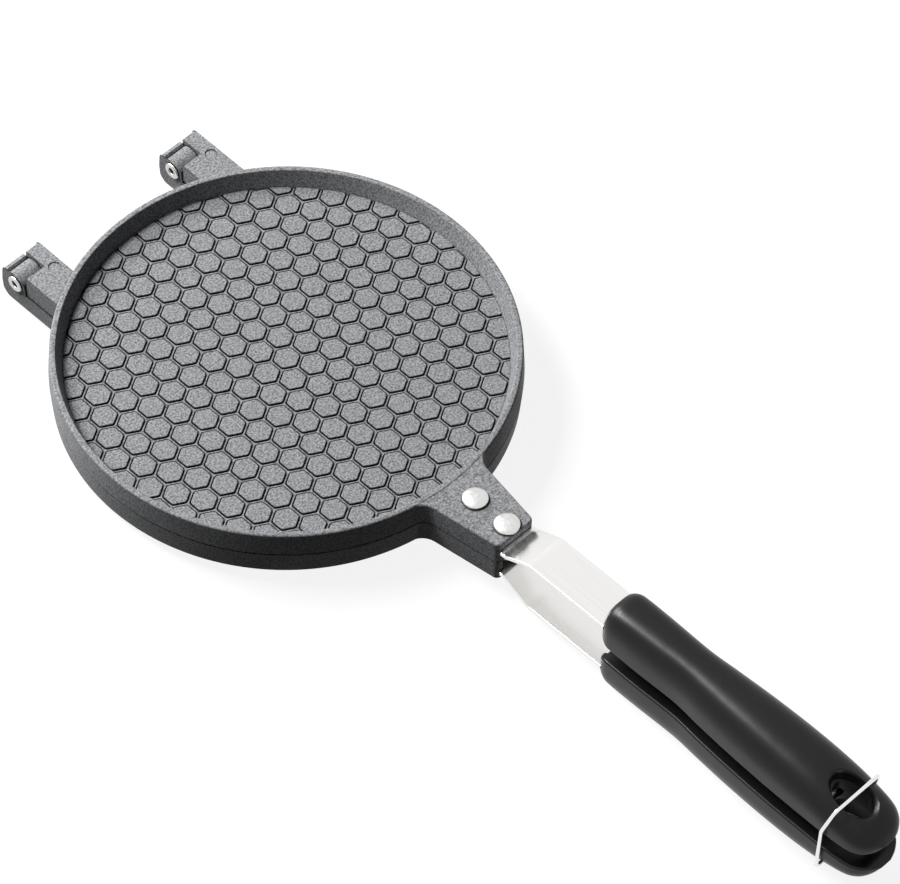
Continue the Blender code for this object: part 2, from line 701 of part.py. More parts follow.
def hanging_hole(name, axis):
    """The oval hanging hole, which flares where it leaves the handle's crown."""
    crown = HANDLE_DEPTH * HOLE_CROWN_SHARE
    start = crown - HOLE_FLARE_DEPTH
    radius = HOLE_WIDTH / 2
    flare = [(radius + HOLE_FLARE * (1 - cos(a)), start + HOLE_FLARE_DEPTH * sin(a))
             for a in (pi / 2, pi / 4, 0)]
    top = crown + OVERRUN
    profile = [(0, top), (flare[0][0], top), *flare, (radius, -OVERRUN), (0, -OVERRUN)]
    hole = as_cutter(turned(name, profile, HOLE_STEPS))
    hole.scale = (1, HOLE_LENGTH / HOLE_WIDTH, 1)
    return carry(hole, axis, (0, -HOLE_PLACE, 0))


def core_out(name, axis):
    """The round-ended pocket in the handle's inner face, across which the long screw shows."""
    half = CORE_WIDTH / 2
    near = -HANDLE_FRONT - CORE_START - half
    far = CORE_WALL + SCREW_COUNTERBORE + HOLE_LENGTH / 2 - HOLE_PLACE + half
    outline = arc((0, near), half, 0, 180, CORE_STEPS) + arc((0, far), half, 180, 360, CORE_STEPS)
    return carry(as_cutter(plan_solid(name, outline, -OVERRUN, CORE_DEPTH)), axis)


def socket(name, axis):
    """The socket for the strap's tongue, its tab and the nut, with a shallow seat for the shoulders."""
    half = STRAP_HANDLE_TONGUE / 2 + CLEARANCE
    top = STRAP_HANDLE_LEVEL + STRAP_THICKNESS / 2 + CLEARANCE
    front = -HANDLE_FRONT + OVERRUN
    back = -HANDLE_FRONT - SOCKET_REACH
    outline = [(half, front), (-half, front), (-half, back), (half, back)]
    deep = plan_solid(name, outline, SOCKET_FLOOR, top)
    wide = STRAP_WIDTH / 2 + CLEARANCE
    seat = -SHOULDER_END - CLEARANCE
    under = STRAP_HANDLE_LEVEL - STRAP_THICKNESS / 2 - CLEARANCE
    outline = [(wide, front), (-wide, front), (-wide, seat), (wide, seat)]
    shoulder = plan_solid(name + "_seat", outline, under, top)
    return [carry(as_cutter(item), axis) for item in (deep, shoulder)]


def handle(name, axis):
    """A moulded handle, lofted from its sections, with its socket, core-out, screw bore and hanging hole."""
    shape = bmesh.new()
    rings = [[shape.verts.new(point) for point in handle_section(shares)] for shares in HANDLE_SHARES]
    count = len(rings[0])
    for ring, following in zip(rings, rings[1:]):
        for number in range(count):
            shape.faces.new((ring[number - 1], ring[number], following[number], following[number - 1]))
    shape.faces.new(rings[0])
    shape.faces.new(rings[-1])
    item = new_object(name, mesh_of(name, shape))
    for tool in socket(name + "_socket", axis):
        combine(item, tool, "DIFFERENCE")
    combine(item, core_out(name + "_core", axis), "DIFFERENCE")
    combine(item, hanging_hole(name + "_hole", axis), "DIFFERENCE")
    wall = HOLE_PLACE - HOLE_LENGTH / 2
    bore = drill(name + "_screw_bore", axis, SCREW_RADIUS + CLEARANCE, (0, -HANDLE_FRONT, SCREW_HEIGHT),
                 0, wall - HANDLE_FRONT + OVERRUN, (pi / 2, 0, 0), SCREW_STEPS)
    counterbore = drill(name + "_counterbore", axis, WASHER_RADIUS + CLEARANCE, (0, -wall, SCREW_HEIGHT),
                        -SCREW_COUNTERBORE, OVERRUN, (pi / 2, 0, 0))
    combine(item, bore, "DIFFERENCE")
    combine(item, counterbore, "DIFFERENCE")
    return smooth(carry(item, axis))


def washer(name, axis):
    """The washer under the long screw's head."""
    place = HOLE_PLACE - HOLE_LENGTH / 2 - SCREW_COUNTERBORE + CLEARANCE
    bore = SCREW_RADIUS + CLEARANCE
    profile = [(bore, 0), (bore, WASHER_THICKNESS), (WASHER_RADIUS, WASHER_THICKNESS), (WASHER_RADIUS, 0)]
    return carry(turned(name, profile, RIVET_STEPS), axis, (0, -place, SCREW_HEIGHT), (pi / 2, 0, 0))


def long_screw(name, axis):
    """The screw from the hanging hole's wall to the strap's tab, with a low domed head."""
    head = HOLE_PLACE - HOLE_LENGTH / 2 - SCREW_COUNTERBORE + WASHER_THICKNESS + CLEARANCE * 2
    tip = TAB_PLACE - STRAP_THICKNESS / 2 - CLEARANCE - NUT_THICKNESS
    profile = [
        (0, SCREW_HEAD_HEIGHT),
        (SCREW_HEAD_RADIUS * SCREW_HEAD_FLAT_SHARE, SCREW_HEAD_HEIGHT),
        (SCREW_HEAD_RADIUS, SCREW_HEAD_HEIGHT / 2),
        (SCREW_HEAD_RADIUS, 0),
        (SCREW_RADIUS, 0),
        (SCREW_RADIUS, tip - head),
        (0, tip - head),
    ]
    return carry(turned(name, profile, SCREW_STEPS), axis, (0, -head, SCREW_HEIGHT), (pi / 2, 0, 0))


def nut(name, axis):
    """The nut on the plate's side of the strap's tab."""
    radius = NUT_FLATS / sqrt(3)
    bore = SCREW_RADIUS + CLEARANCE
    outer = [(radius * cos(a), radius * sin(a)) for a in (pi * side / 3 for side in range(6))]
    turns = [2 * pi * step / SCREW_STEPS for step in range(SCREW_STEPS)]
    inner = [(bore * cos(a), bore * sin(a)) for a in turns]
    face = TAB_PLACE - STRAP_THICKNESS / 2 - CLEARANCE
    shape = flat_shape(name, [outer, inner], face - NUT_THICKNESS, face, (pi / 2, 0, 0), (0, 0, SCREW_HEIGHT))
    return carry(new_object(name, mesh_of(name, shape)), axis)


def wire_bail(name, axis):
    """The sprung wire bail, from one pivot hole over the upper handle to the other."""
    side = HANDLE_WIDTH / 2 + BAIL_SIDE_GAP + WIRE_RADIUS
    inner = HOLE_WIDTH / 2 + BAIL_END_REACH
    top = HANDLE_DEPTH * HOLE_CROWN_SHARE + BAIL_TOP_LIFT + WIRE_RADIUS
    right = [
        (inner, 0, 0),
        (side, 0, 0),
        (side, -BAIL_KINK_OUT, BAIL_KINK_UP),
        (side - BAIL_TOP_DRAW_IN, -BAIL_TOP_OUT, top + BAIL_PIVOT_DEPTH),
    ]
    line = right + [(-x, y, z) for x, y, z in reversed(right)]
    bends = filleted(line, (BAIL_BEND, BAIL_KINK_BEND, BAIL_BEND, BAIL_BEND, BAIL_KINK_BEND, BAIL_BEND))
    curve = bpy.data.curves.new(name, "CURVE")
    curve.dimensions = "3D"
    curve.bevel_depth = WIRE_RADIUS
    curve.bevel_resolution = 2
    curve.use_fill_caps = True
    spline = curve.splines.new("POLY")
    spline.points.add(len(bends) - 1)
    for point, bend in zip(spline.points, bends):
        point.co = (*bend, 1)
    return carry(new_object(name, curve), axis, (0, -BAIL_PIVOT_PLACE, -BAIL_PIVOT_DEPTH))


def bail_holes(item):
    """Drill the cross hole in which the bail pivots."""
    place = (0, -BAIL_PIVOT_PLACE, -BAIL_PIVOT_DEPTH)
    hole = drill("bail_pivot_hole", AXES["base"], WIRE_RADIUS + CLEARANCE, place, -HANDLE_WIDTH, HANDLE_WIDTH,
                 (0, pi / 2, 0), SCREW_STEPS)
    return combine(item, hole, "DIFFERENCE")


COATED = material("coated_cast_aluminium", (0.030, 0.031, 0.033), 0.45, 0.3)
STEEL = material("polished_steel_strap", (0.72, 0.72, 0.72), 0.22, 1.0)
PHENOLIC = material("moulded_phenolic", (0.012, 0.012, 0.013), 0.18, 0.0)
RIVET = material("bright_rivet", (0.68, 0.68, 0.67), 0.30, 1.0)
PIN = material("bright_pin", (0.60, 0.60, 0.60), 0.32, 1.0)
SCREW = material("plated_screw", (0.55, 0.55, 0.54), 0.35, 1.0)
WIRE = material("bright_wire", (0.75, 0.75, 0.75), 0.20, 1.0)

IRON = empty("iron", place=(0, PARTING_SHIFT, PARTING_HEIGHT))
AXES = {
    "base": empty("base", IRON),
    "lower_half": empty("lower_half", IRON, turn=(0, pi, 0)),
    "lid": empty("lid_axis", IRON, (0, PIN_PLACE, PIN_UP)),
    "bail": empty("bail_axis", IRON, (0, -BAIL_PIVOT_PLACE, -BAIL_PIVOT_DEPTH)),
}


def build_half(side, half):
    """Build the strap, the rivets, the handle and its fasteners of one half."""
    dress(strap(side + "_strap", half), STEEL)
    for place, name in zip(RIVET_PLACES, ("rear", "front")):
        dress(rivet(f"{side}_{name}_rivet", half, place), RIVET)
    dress(long_screw(side + "_handle_screw", half), SCREW)
    dress(washer(side + "_handle_washer", half), SCREW)
    dress(nut(side + "_handle_nut", half), SCREW)
    return dress(handle(side + "_handle", half), PHENOLIC)


def build():
    """Build every piece of the iron."""
    upper = plate_blank("upper_plate", AXES["lid"])
    lower = plate_blank("lower_plate", AXES["lower_half"])
    upper_lugs = []
    lower_lugs = []
    for side, name in ((-1, "left"), (1, "right")):
        centre = side * HINGE_OFFSET
        upper_lugs.append(upper_hinge_lug(f"upper_{name}_lug", AXES["lid"], centre))
        lower_lugs.append(lower_hinge_lug(f"lower_{name}_lug", AXES["base"], centre))
        dress(hinge_pin(f"{name}_hinge_pin", AXES["base"], centre), PIN)
    dress(finish_plate(upper, AXES["lid"], upper_lugs, True), COATED)
    dress(finish_plate(lower, AXES["lower_half"], lower_lugs, False), COATED)
    build_half("upper", AXES["lid"])
    lower_handle = build_half("lower", AXES["lower_half"])
    bail_holes(lower_handle)
    dress(wire_bail("wire_bail", AXES["bail"]), WIRE)


build()
bpy.context.view_layer.update()
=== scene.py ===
"""Egg roll iron: the finished surfaces of two hinged cast plates on strap handles, with a wire bail."""
import json
from math import asin, atan2, ceil, cos, degrees, pi, radians, sin, sqrt, tan

import bmesh
import bpy
from bpy.props import FloatProperty, FloatVectorProperty, IntProperty, PointerProperty
from bpy.types import Operator, Panel, PropertyGroup
from mathutils import Matrix, Vector


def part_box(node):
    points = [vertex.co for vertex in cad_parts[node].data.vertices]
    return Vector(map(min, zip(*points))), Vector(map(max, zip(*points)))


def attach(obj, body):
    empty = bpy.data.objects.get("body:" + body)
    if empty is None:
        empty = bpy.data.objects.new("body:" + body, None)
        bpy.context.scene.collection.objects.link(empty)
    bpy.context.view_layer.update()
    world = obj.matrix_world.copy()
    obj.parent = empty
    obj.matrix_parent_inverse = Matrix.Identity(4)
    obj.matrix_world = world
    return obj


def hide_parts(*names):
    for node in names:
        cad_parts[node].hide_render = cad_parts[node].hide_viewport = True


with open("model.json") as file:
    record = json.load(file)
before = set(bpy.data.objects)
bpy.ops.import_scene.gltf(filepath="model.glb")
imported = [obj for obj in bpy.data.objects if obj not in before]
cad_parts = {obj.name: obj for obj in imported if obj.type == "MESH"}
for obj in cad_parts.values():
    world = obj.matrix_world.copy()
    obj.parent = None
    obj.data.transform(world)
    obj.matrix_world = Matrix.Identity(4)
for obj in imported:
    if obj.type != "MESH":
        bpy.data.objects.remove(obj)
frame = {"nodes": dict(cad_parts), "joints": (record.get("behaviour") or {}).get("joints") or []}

bl_info = {
    "name": "Egg Roll Iron",
    "version": (1, 0, 0),
    "blender": (4, 5, 0),
    "location": "3D View > Sidebar > Egg Roll Iron",
    "description": "Cast plates, steel straps, moulded handles and a wire bail, finished for a studio picture",
    "category": "Add Mesh",
}

# Places read from the frame, in metres: the pin, the bail's pivot and the plates' radius
JOINTS = {joint["name"]: joint for joint in frame["joints"]}
PIN = Vector(JOINTS["lid_hinge"]["pos_m"])
PIVOT = Vector(JOINTS["bail_swing"]["pos_m"])
PLATE_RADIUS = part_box("upper_plate")[1].x

# Fits: gaps between pieces, how far a tool runs past its piece and what counts as one point
CLEARANCE = 0.0003
OVERRUN = 0.002
MERGE_DISTANCE = 0.000002

# Edges sharper than the first angle can be rounded; those sharper than the others are shaded hard
ROUNDED_ANGLE = radians(30)
SHADED_ANGLE = radians(35)
CASTING_SHADED_ANGLE = radians(38)

# Cast plates
PLATE_THICKNESS = 0.0113
PLATE_DRAFT = 0.0007
PARTING_EDGE = 0.0004
RIM_WIDTH = 0.0026
RIM_ROUND = 0.0009
RIM_INNER_ROUND = 0.0005
RECESS_DRAFT = 0.0026
RECESS_FILLET = 0.0009
WEB_THICKNESS = 0.0021
LAND_WIDTH = 0.0045
BAKE_DEPTH = 0.0010
BAKE_RELIEF = 0.0006
# The blanks of the face tools reach this many line depths past the webs, so that the sunk lines fit in them
TOOL_DEPTH_SHARE = 1.2
# The rounding along a cell's top, as shares of its radius outward and down
CELL_EDGE_SHARES = ((0.15, 1), (-0.5, 0.25), (-1.5, 0))
# A cell's corner is rounded by no more than this share of the cell's half width
CELL_CORNER_SHARE = 0.8

# Front lug and the channel under it
LUG_END = 0.1286
LUG_END_WIDTH = 0.0193
LUG_TAPER_SHARE = 0.157
LUG_DROP = 0.0003
LUG_SET_BACK = 0.0001
LUG_ROOT_FILLET = 0.008
LUG_ROOT_REACH = 0.011
LUG_CORNER = 0.0025
LUG_ROUND = 0.0014
LUG_ROOF = 0.0033
CHANNEL_LENGTH = 0.0325

# Rivets
RIVET_HEAD_RADIUS = 0.0053
RIVET_HEAD_HEIGHT = 0.0023
RIVET_HEAD_LIP = 0.0006
RIVET_SHANK_RADIUS = 0.0025
RIVET_TAIL_RADIUS = 0.0038
RIVET_TAIL_HEIGHT = 0.0012
RIVET_TAIL_SHARE = 0.85
RIVET_EDGE = 0.0053
RIVET_SPACING = 0.0173

# Straps
STRAP_WIDTH = 0.0186
STRAP_THICKNESS = 0.0018
STRAP_EDGE = 0.00035
STRAP_LUG_TONGUE = 0.0135
STRAP_HANDLE_TONGUE = 0.0128
STRAP_LIFT = 0.0067
STRAP_LEVEL_RUN = 0.0026
STRAP_RISE_RUN = 0.0132
STRAP_SPAN = 0.0539
STRAP_BEND = 0.005
STRAP_TAB_BEND = 0.0022
STRAP_SHOULDER = 0.0018
STRAP_STEP = 0.0003
STRAP_TONGUE_REACH = 0.0235
STRAP_TAB_DROP = 0.0073

# Handles
HANDLE_LENGTH = 0.1407
HANDLE_WIDTH = 0.0272
HANDLE_DEPTH = 0.0245
HANDLE_STAND_OFF = 0.0044
HANDLE_CROWN_SHARE = 0.30
HANDLE_EDGE = 0.0010
# Shares along the handle: place, half width, outer height, lift of the inner face, crown squareness
HANDLE_SHARES = (
    (0.000, 0.50, 0.740, 0.160, 2.8),
    (0.012, 0.69, 0.900, 0.060, 2.8),
    (0.040, 0.79, 0.970, 0.000, 2.8),
    (0.130, 0.80, 0.990, 0.000, 2.6),
    (0.280, 0.77, 0.995, 0.000, 2.5),
    (0.390, 0.86, 1.000, 0.000, 2.4),
    (0.510, 0.94, 1.000, 0.000, 2.4),
    (0.670, 0.995, 0.975, 0.000, 2.4),
    (0.750, 1.00, 0.940, 0.000, 2.4),
    (0.820, 1.00, 0.870, 0.000, 2.4),
    (0.865, 0.990, 0.790, 0.000, 2.4),
    (0.905, 0.965, 0.725, 0.000, 2.4),
    (0.940, 0.905, 0.660, 0.000, 2.4),
    (0.968, 0.760, 0.565, 0.010, 2.4),
    (0.988, 0.510, 0.440, 0.040, 2.4),
    (1.000, 0.200, 0.300, 0.110, 2.4),
)

# Socket, core-out and hanging hole of each handle
SOCKET_FLOOR = 0.0054
SOCKET_REACH = 0.0248
CORE_START = 0.0371
CORE_WALL = 0.0094
CORE_WIDTH = 0.0100
CORE_DEPTH = 0.0125
HOLE_FROM_END = 0.0192
HOLE_WIDTH = 0.0125
HOLE_LENGTH = 0.0180
HOLE_FLARE = 0.0028
HOLE_FLARE_DEPTH = 0.0052
HOLE_CROWN_SHARE = 0.790

# Long screw, washer and nut
SCREW_RADIUS = 0.0018
SCREW_HEIGHT = 0.0088
SCREW_HEAD_RADIUS = 0.0029
SCREW_HEAD_HEIGHT = 0.0024
# How much of the head's height its straight edge takes up
SCREW_HEAD_EDGE_SHARE = 0.4
SCREW_COUNTERBORE = 0.0036
THREAD_PITCH = 0.0007
THREAD_DEPTH = 0.0003
THREAD_LENGTH = 0.0140
WASHER_RADIUS = 0.0034
WASHER_THICKNESS = 0.0008
NUT_FLATS = 0.0060
NUT_THICKNESS = 0.0032
NUT_CHAMFER_SHARE = 0.13

# Hinge
HINGE_OFFSET = 0.0431
HINGE_LUG_WIDTH = 0.0164
HINGE_LUG_ROOT = 0.020
HINGE_UPPER_TOP = 0.0100
HINGE_LOWER_BOTTOM = 0.0078
HINGE_ROUND = 0.0007
KNUCKLE_WIDTH = 0.0062
KNUCKLE_RADIUS = 0.0060
KNUCKLE_REACH = 0.0054
KNUCKLE_CORNER = 0.0012
EAR_PROUD = 0.0006
EAR_RADIUS = 0.0054
EAR_REACH = 0.0078
EAR_CORNER = 0.0044
SHOULDER_GAP = 0.0059
NOTCH_GAP = 0.0066
STOP_LIP_OUT = 0.0052
STOP_LIP_UP = 0.0046
STOP_LIP_WIDTH = 0.0016
STOP_GROOVE = 0.0012
BARREL_START = 48
PIN_OUT = 0.0088
PIN_UP = 0.0030
PIN_RADIUS = 0.0025
PIN_BORE_RADIUS = 0.0016
PIN_HEAD_RADIUS = 0.00375
PIN_HEAD_THICKNESS = 0.0007
EJECTOR_RADIUS = 0.0026
EJECTOR_DEPTH = 0.00045
EJECTOR_PLACE = (0.0047, 0.0950)

# Bail
WIRE_RADIUS = 0.0008
BAIL_SIDE_GAP = 0.0006
BAIL_KINK_UP = 0.0246
BAIL_KINK_OUT = 0.0003
BAIL_TOP_OUT = 0.0030
BAIL_TOP_LIFT = 0.0003
BAIL_TOP_DRAW_IN = 0.0031
BAIL_END_REACH = 0.0001
BAIL_BEND = 0.0022
BAIL_KINK_BEND = 0.006

# Camera: the picture's width in pixels, and the lens and the place from the plates' centre that give its view
PICTURE_WIDTH = 900
FOCAL_PIXELS = 4957.94
SENSOR_WIDTH = 36
CAMERA_OFFSET = (-0.8403, -0.8986, 1.5515)
CAMERA_TURN = radians(-46.156)
CAMERA_FALL = radians(52.482)
CAMERA_ROLL = radians(1.677)

# Lamps, from the plates' centre, with their width and height; and how far the floor reaches
KEY_PLACE = (-0.40, 0.80, 1.32)
KEY_SIZE = (0.8, 0.45)
BACK_PLACE = (-0.20, 1.55, 0.95)
BACK_SIZE = (1.0, 0.6)
FLOOR_REACH = 4.0

# Straight steps around small turned pieces, bores, the hanging hole and the core-out's ends
TURNED_STEPS = 48
BORE_STEPS = 40
HOLE_STEPS = 64
CORE_STEPS = 16

# Places and sizes that follow from those above
RIM_RADIUS = PLATE_RADIUS - PLATE_DRAFT
BAKE_RADIUS = PLATE_RADIUS - LAND_WIDTH
LUG_TOP = PLATE_THICKNESS - LUG_DROP
LUG_ROOF_HEIGHT = LUG_TOP - LUG_ROOF
STRAP_LUG_LEVEL = LUG_ROOF_HEIGHT - CLEARANCE - STRAP_THICKNESS / 2
STRAP_HANDLE_LEVEL = STRAP_LUG_LEVEL + STRAP_LIFT
HANDLE_FRONT = LUG_END + STRAP_SPAN
HANDLE_END = HANDLE_FRONT + HANDLE_LENGTH
SHOULDER_END = HANDLE_FRONT + STRAP_SHOULDER
TAB_PLACE = HANDLE_FRONT + STRAP_TONGUE_REACH
RIVET_PLACES = (LUG_END - RIVET_EDGE - RIVET_SPACING, LUG_END - RIVET_EDGE)
HOLE_PLACE = HANDLE_END - HOLE_FROM_END
HOLE_WALL = HOLE_PLACE - HOLE_LENGTH / 2
SCREW_HOLE_RADIUS = SCREW_RADIUS + CLEARANCE
NUT_FACE = TAB_PLACE - STRAP_THICKNESS / 2 - CLEARANCE
PIN_PLACE = PLATE_RADIUS + PIN_OUT
HINGES = (-HINGE_OFFSET, HINGE_OFFSET)
EAR_WIDTH = HINGE_LUG_WIDTH - KNUCKLE_WIDTH - CLEARANCE + EAR_PROUD
IRON = Matrix.Translation((0, PIN.y - PIN_PLACE, PIN.z - PIN_UP))
HALVES = {"upper": IRON, "lower": IRON @ Matrix.Rotation(pi, 4, "Y")}
BODIES = {"upper": "lid", "lower": "base"}
LENGTHWISE = Matrix.Rotation(pi / 2, 4, "X")
CROSSWISE = Matrix.Rotation(pi / 2, 4, "Y")


def linear(code):
    """Turn an sRGB hex value into linear red, green and blue."""
    shares = [int(code[start:start + 2], 16) / 255 for start in (0, 2, 4)]
    return tuple(share / 12.92 if share <= 0.04045 else ((share + 0.055) / 1.055) ** 2.4 for share in shares)


def colour_property(name, description, code):
    """A colour that a user can change, with its default given in sRGB hex."""
    return FloatVectorProperty(name=name, description=description, subtype="COLOR", size=3,
                               min=0, max=1, default=linear(code))


def length_property(name, description, default):
    """A length that a user can change."""
    return FloatProperty(name=name, description=description, default=default, min=0, precision=5,
                         subtype="DISTANCE", unit="LENGTH")


class PlateSettings(PropertyGroup):
    """What can be changed on the cast plates."""
    cell_pitch: length_property("Cell pitch", "Distance between the centres of two cells", 0.01108)
    relief: length_property("Relief", "Height of the cells on the outer faces", 0.0005)
    groove_width: length_property("Groove width", "Width of the flat top of the web between two cells", 0.0004)
    wall_run: length_property("Wall run", "How far a cell's side leans", 0.00012)
    edge_round: length_property("Edge round", "Rounding along the top of each cell", 0.00018)
    corner_round: length_property("Corner round", "Rounding of a cell's corners, seen from above", 0.0011)
    line_width: length_property("Line width", "Width of the sunk line round each cell", 0.00062)
    line_depth: length_property("Line depth", "How far that line is sunk below the webs", 0.00062)
    steps: IntProperty(name="Steps", description="Straight steps around a plate", default=192, min=24)
    coating: colour_property("Coating", "Non-stick coating", "515254")
    # Painted shade: the colour drawn into narrow lines and corners, darker than their relief alone makes them
    coating_painted_shade: colour_property("Coating corner", "Coating in narrow lines and corners", "1A1B1C")
    coating_grain: colour_property("Coating grain", "Light grains in the coating", "8C8D8F")


class MetalSettings(PropertyGroup):
    """Colours of the bright metal pieces."""
    strap: colour_property("Strap", "Polished stainless steel", "F0EFED")
    rivet: colour_property("Rivet", "Bright aluminium of the rivets", "DEDEDC")
    pin: colour_property("Hinge pin", "Bright steel of the tubular rivets", "C9C8C5")
    fastener: colour_property("Fastener", "Zinc-plated screws, washers and nuts", "B9BABB")
    wire: colour_property("Wire", "Drawn spring steel of the bail", "EFEFED")


class HandleSettings(PropertyGroup):
    """What can be changed on the handles."""
    stations: IntProperty(name="Stations", description="Sections along a handle", default=64, min=16)
    crown_steps: IntProperty(name="Crown steps", description="Straight steps across the crown", default=28, min=8)
    moulding: colour_property("Moulding", "Black phenolic moulding", "0B0B0C")


class StageSettings(PropertyGroup):
    """The floor, the light and the room around the iron."""
    floor: colour_property("Floor", "Pale floor", "FFFFFF")
    bounce: colour_property("Bounce", "What the floor gives back as light on the iron", "1A1A1A")
    glow: FloatProperty(name="Glow", description="Share of the floor's white that no shadow darkens", default=0.88,
                        min=0, max=1, subtype="FACTOR")
    room: FloatProperty(name="Room light", description="Strength of the room's own light", default=0.04, min=0)
    key: FloatProperty(name="Key light", description="Power of the large lamp above and to the left", default=42,
                       min=0, unit="POWER")
    back: FloatProperty(name="Back light", description="Power of the lamp beyond the hinge", default=39, min=0,
                        unit="POWER")


def angles(start, end, steps):
    """Angles in equal steps from one to another, given in degrees, in radians."""
    return [radians(start + (end - start) * step / steps) for step in range(steps + 1)]


def arc(centre, radius, start, end, steps):
    """Points along an arc in a plane, from one angle to another, in degrees."""
    return [(centre[0] + radius * cos(angle), centre[1] + radius * sin(angle)) for angle in
            angles(start, end, steps)]


def filleted(points, radii, steps=8):
    """Round the inner corners of an open line, each with its own radius."""
    result = [Vector(points[0])]
    for before, corner, after, radius in zip(points, points[1:], points[2:], radii):
        corner = Vector(corner)
        back = (Vector(before) - corner).normalized()
        ahead = (Vector(after) - corner).normalized()
        half = back.angle(ahead) / 2
        centre = corner + (back + ahead).normalized() * (radius / sin(half))
        start = corner + back * (radius / tan(half)) - centre
        end = corner + ahead * (radius / tan(half)) - centre
        swing = start.angle(end)
        for step in range(steps + 1):
            share = step / steps
            spoke = (start * sin((1 - share) * swing) + end * sin(share * swing)) / sin(swing)
            result.append(centre + spoke)
    result.append(Vector(points[-1]))
    return result


def turned(profile, steps):
    """A turned shape from (radius, height) points; a ring's points close on the first."""
    shape = bmesh.new()
    points = [shape.verts.new((radius, 0, height)) for radius, height in profile]
    edges = [shape.edges.new(pair) for pair in zip(points, points[1:])]
    if profile[0][0]:
        edges.append(shape.edges.new((points[-1], points[0])))
    bmesh.ops.spin(shape, geom=points + edges, axis=(0, 0, 1), cent=(0, 0, 0), angle=2 * pi, steps=steps,
                   use_merge=True)
    return tidied(shape)


def prism(outline, low, high):
    """A solid with a flat outline, from one height to another."""
    shape = bmesh.new()
    base = shape.faces.new([shape.verts.new((across, along, low)) for across, along in outline])
    top = bmesh.ops.extrude_face_region(shape, geom=[base])["geom"]
    raised = [item for item in top if isinstance(item, bmesh.types.BMVert)]
    bmesh.ops.translate(shape, verts=raised, vec=(0, 0, high - low))
    bmesh.ops.recalc_face_normals(shape, faces=shape.faces)
    return shape


def block(side, other_side, near, far, low, high):
    """An oblong solid."""
    return prism([(side, near), (other_side, near), (other_side, far), (side, far)], low, high)


def side_prism(outline, left, right):
    """A solid with an outline of (y, z) points, which runs along X."""
    shape = prism(outline, left, right)
    shape.transform(Matrix(((0, 0, 1, 0), (1, 0, 0, 0), (0, 1, 0, 0), (0, 0, 0, 1))))
    return shape


def softened(shape, width, segments=3, chosen=None):
    """Round the sharp edges of a shape, or those that are chosen."""
    edges = [edge for edge in shape.edges if edge.calc_face_angle(0) > ROUNDED_ANGLE]
    if chosen:
        edges = [edge for edge in edges if chosen(edge)]
    bmesh.ops.bevel(shape, geom=edges, offset=width, segments=segments, profile=0.5, affect="EDGES",
                    clamp_overlap=True)
    return shape


def moved(shape, matrix):
    """Move a shape."""
    shape.transform(matrix)
    return shape


def shift(across=0, along=0, up=0):
    """A move to a place."""
    return Matrix.Translation((across, along, up))


def on_screw_line(place):
    """Where a piece of the long screw's line lies, at a distance from the plates' centre."""
    return shift(0, -place, SCREW_HEIGHT) @ LENGTHWISE


def tidied(shape):
    """Merge a shape's points that meet, and turn all its faces outward."""
    bmesh.ops.remove_doubles(shape, verts=shape.verts, dist=MERGE_DISTANCE)
    bmesh.ops.recalc_face_normals(shape, faces=shape.faces)
    return shape


def lofted(outlines):
    """A solid over a row of outlines that have equally many points."""
    shape = bmesh.new()
    rings = [[shape.verts.new(point) for point in outline] for outline in outlines]
    skin(shape, rings)
    shape.faces.new(rings[0])
    shape.faces.new(rings[-1])
    return tidied(shape)


def skin(shape, rings):
    """Join each ring of points to the next."""
    for ring, following in zip(rings, rings[1:]):
        for number in range(len(ring)):
            shape.faces.new((ring[number - 1], ring[number], following[number], following[number - 1]))


def in_scene(name, data):
    """Put a mesh, a curve, a lamp or a camera in the scene as an object."""
    item = bpy.data.objects.new(name, data)
    bpy.context.scene.collection.objects.link(item)
    return item


def loose_object(name, shape):
    """Put a shape in the scene as an object."""
    mesh = bpy.data.meshes.new(name)
    shape.to_mesh(mesh)
    shape.free()
    return in_scene(name, mesh)


def final_shape(item, *tools):
    """The shape of an object when all that works on it is done; it and its tools are taken away."""
    bpy.context.view_layer.update()
    mesh = bpy.data.meshes.new_from_object(item.evaluated_get(bpy.context.evaluated_depsgraph_get()))
    for spare in (item, *tools):
        bpy.data.objects.remove(spare, do_unlink=True)
    shape = bmesh.new()
    shape.from_mesh(mesh)
    bpy.data.meshes.remove(mesh)
    return shape


def worked(name, blank, join=(), keep=(), cut=()):
    """Join pieces to a blank, keep what lies inside others and cut tools out of it, in that order."""
    item = loose_object(name, blank)
    jobs = [(operation, tool) for operation, tools in (("UNION", join), ("INTERSECT", keep), ("DIFFERENCE", cut))
            for tool in tools]
    tools = []
    for number, (operation, tool) in enumerate(jobs):
        modifier = item.modifiers.new(f"job_{number}", "BOOLEAN")
        modifier.operation = operation
        modifier.solver = "MANIFOLD"
        modifier.object = loose_object(f"{name}_tool_{number}", tool)
        tools.append(modifier.object)
    shape = final_shape(item, *tools)
    if not shape.faces:
        raise RuntimeError(f"nothing is left of {name}")
    return shape


def place_piece(name, shape, matrix, finish, body, node, sharp=SHADED_ANGLE):
    """Put a finished piece where its node is, shade it, and let it ride with its body."""
    shape.transform(matrix)
    item = loose_object(name, shape)
    item.data.materials.clear()
    item.data.materials.append(finish)
    item.data.shade_smooth()
    item.data.set_sharp_from_angle(angle=sharp)
    weighted = item.modifiers.new("shading", "WEIGHTED_NORMAL")
    weighted.keep_sharp = True
    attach(item, body)
    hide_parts(node)
    return item


def new_material(name):
    """Start a material, and give its node tree and its shader."""
    material = bpy.data.materials.new(name)
    material.use_nodes = True
    return material, material.node_tree, material.node_tree.nodes["Principled BSDF"]


def add_node(tree, kind, inputs, **settings):
    """Add a node with its settings, and set or link its inputs."""
    node = tree.nodes.new(kind)
    for key, value in settings.items():
        setattr(node, key, value)
    set_inputs(tree, node, inputs)
    return node


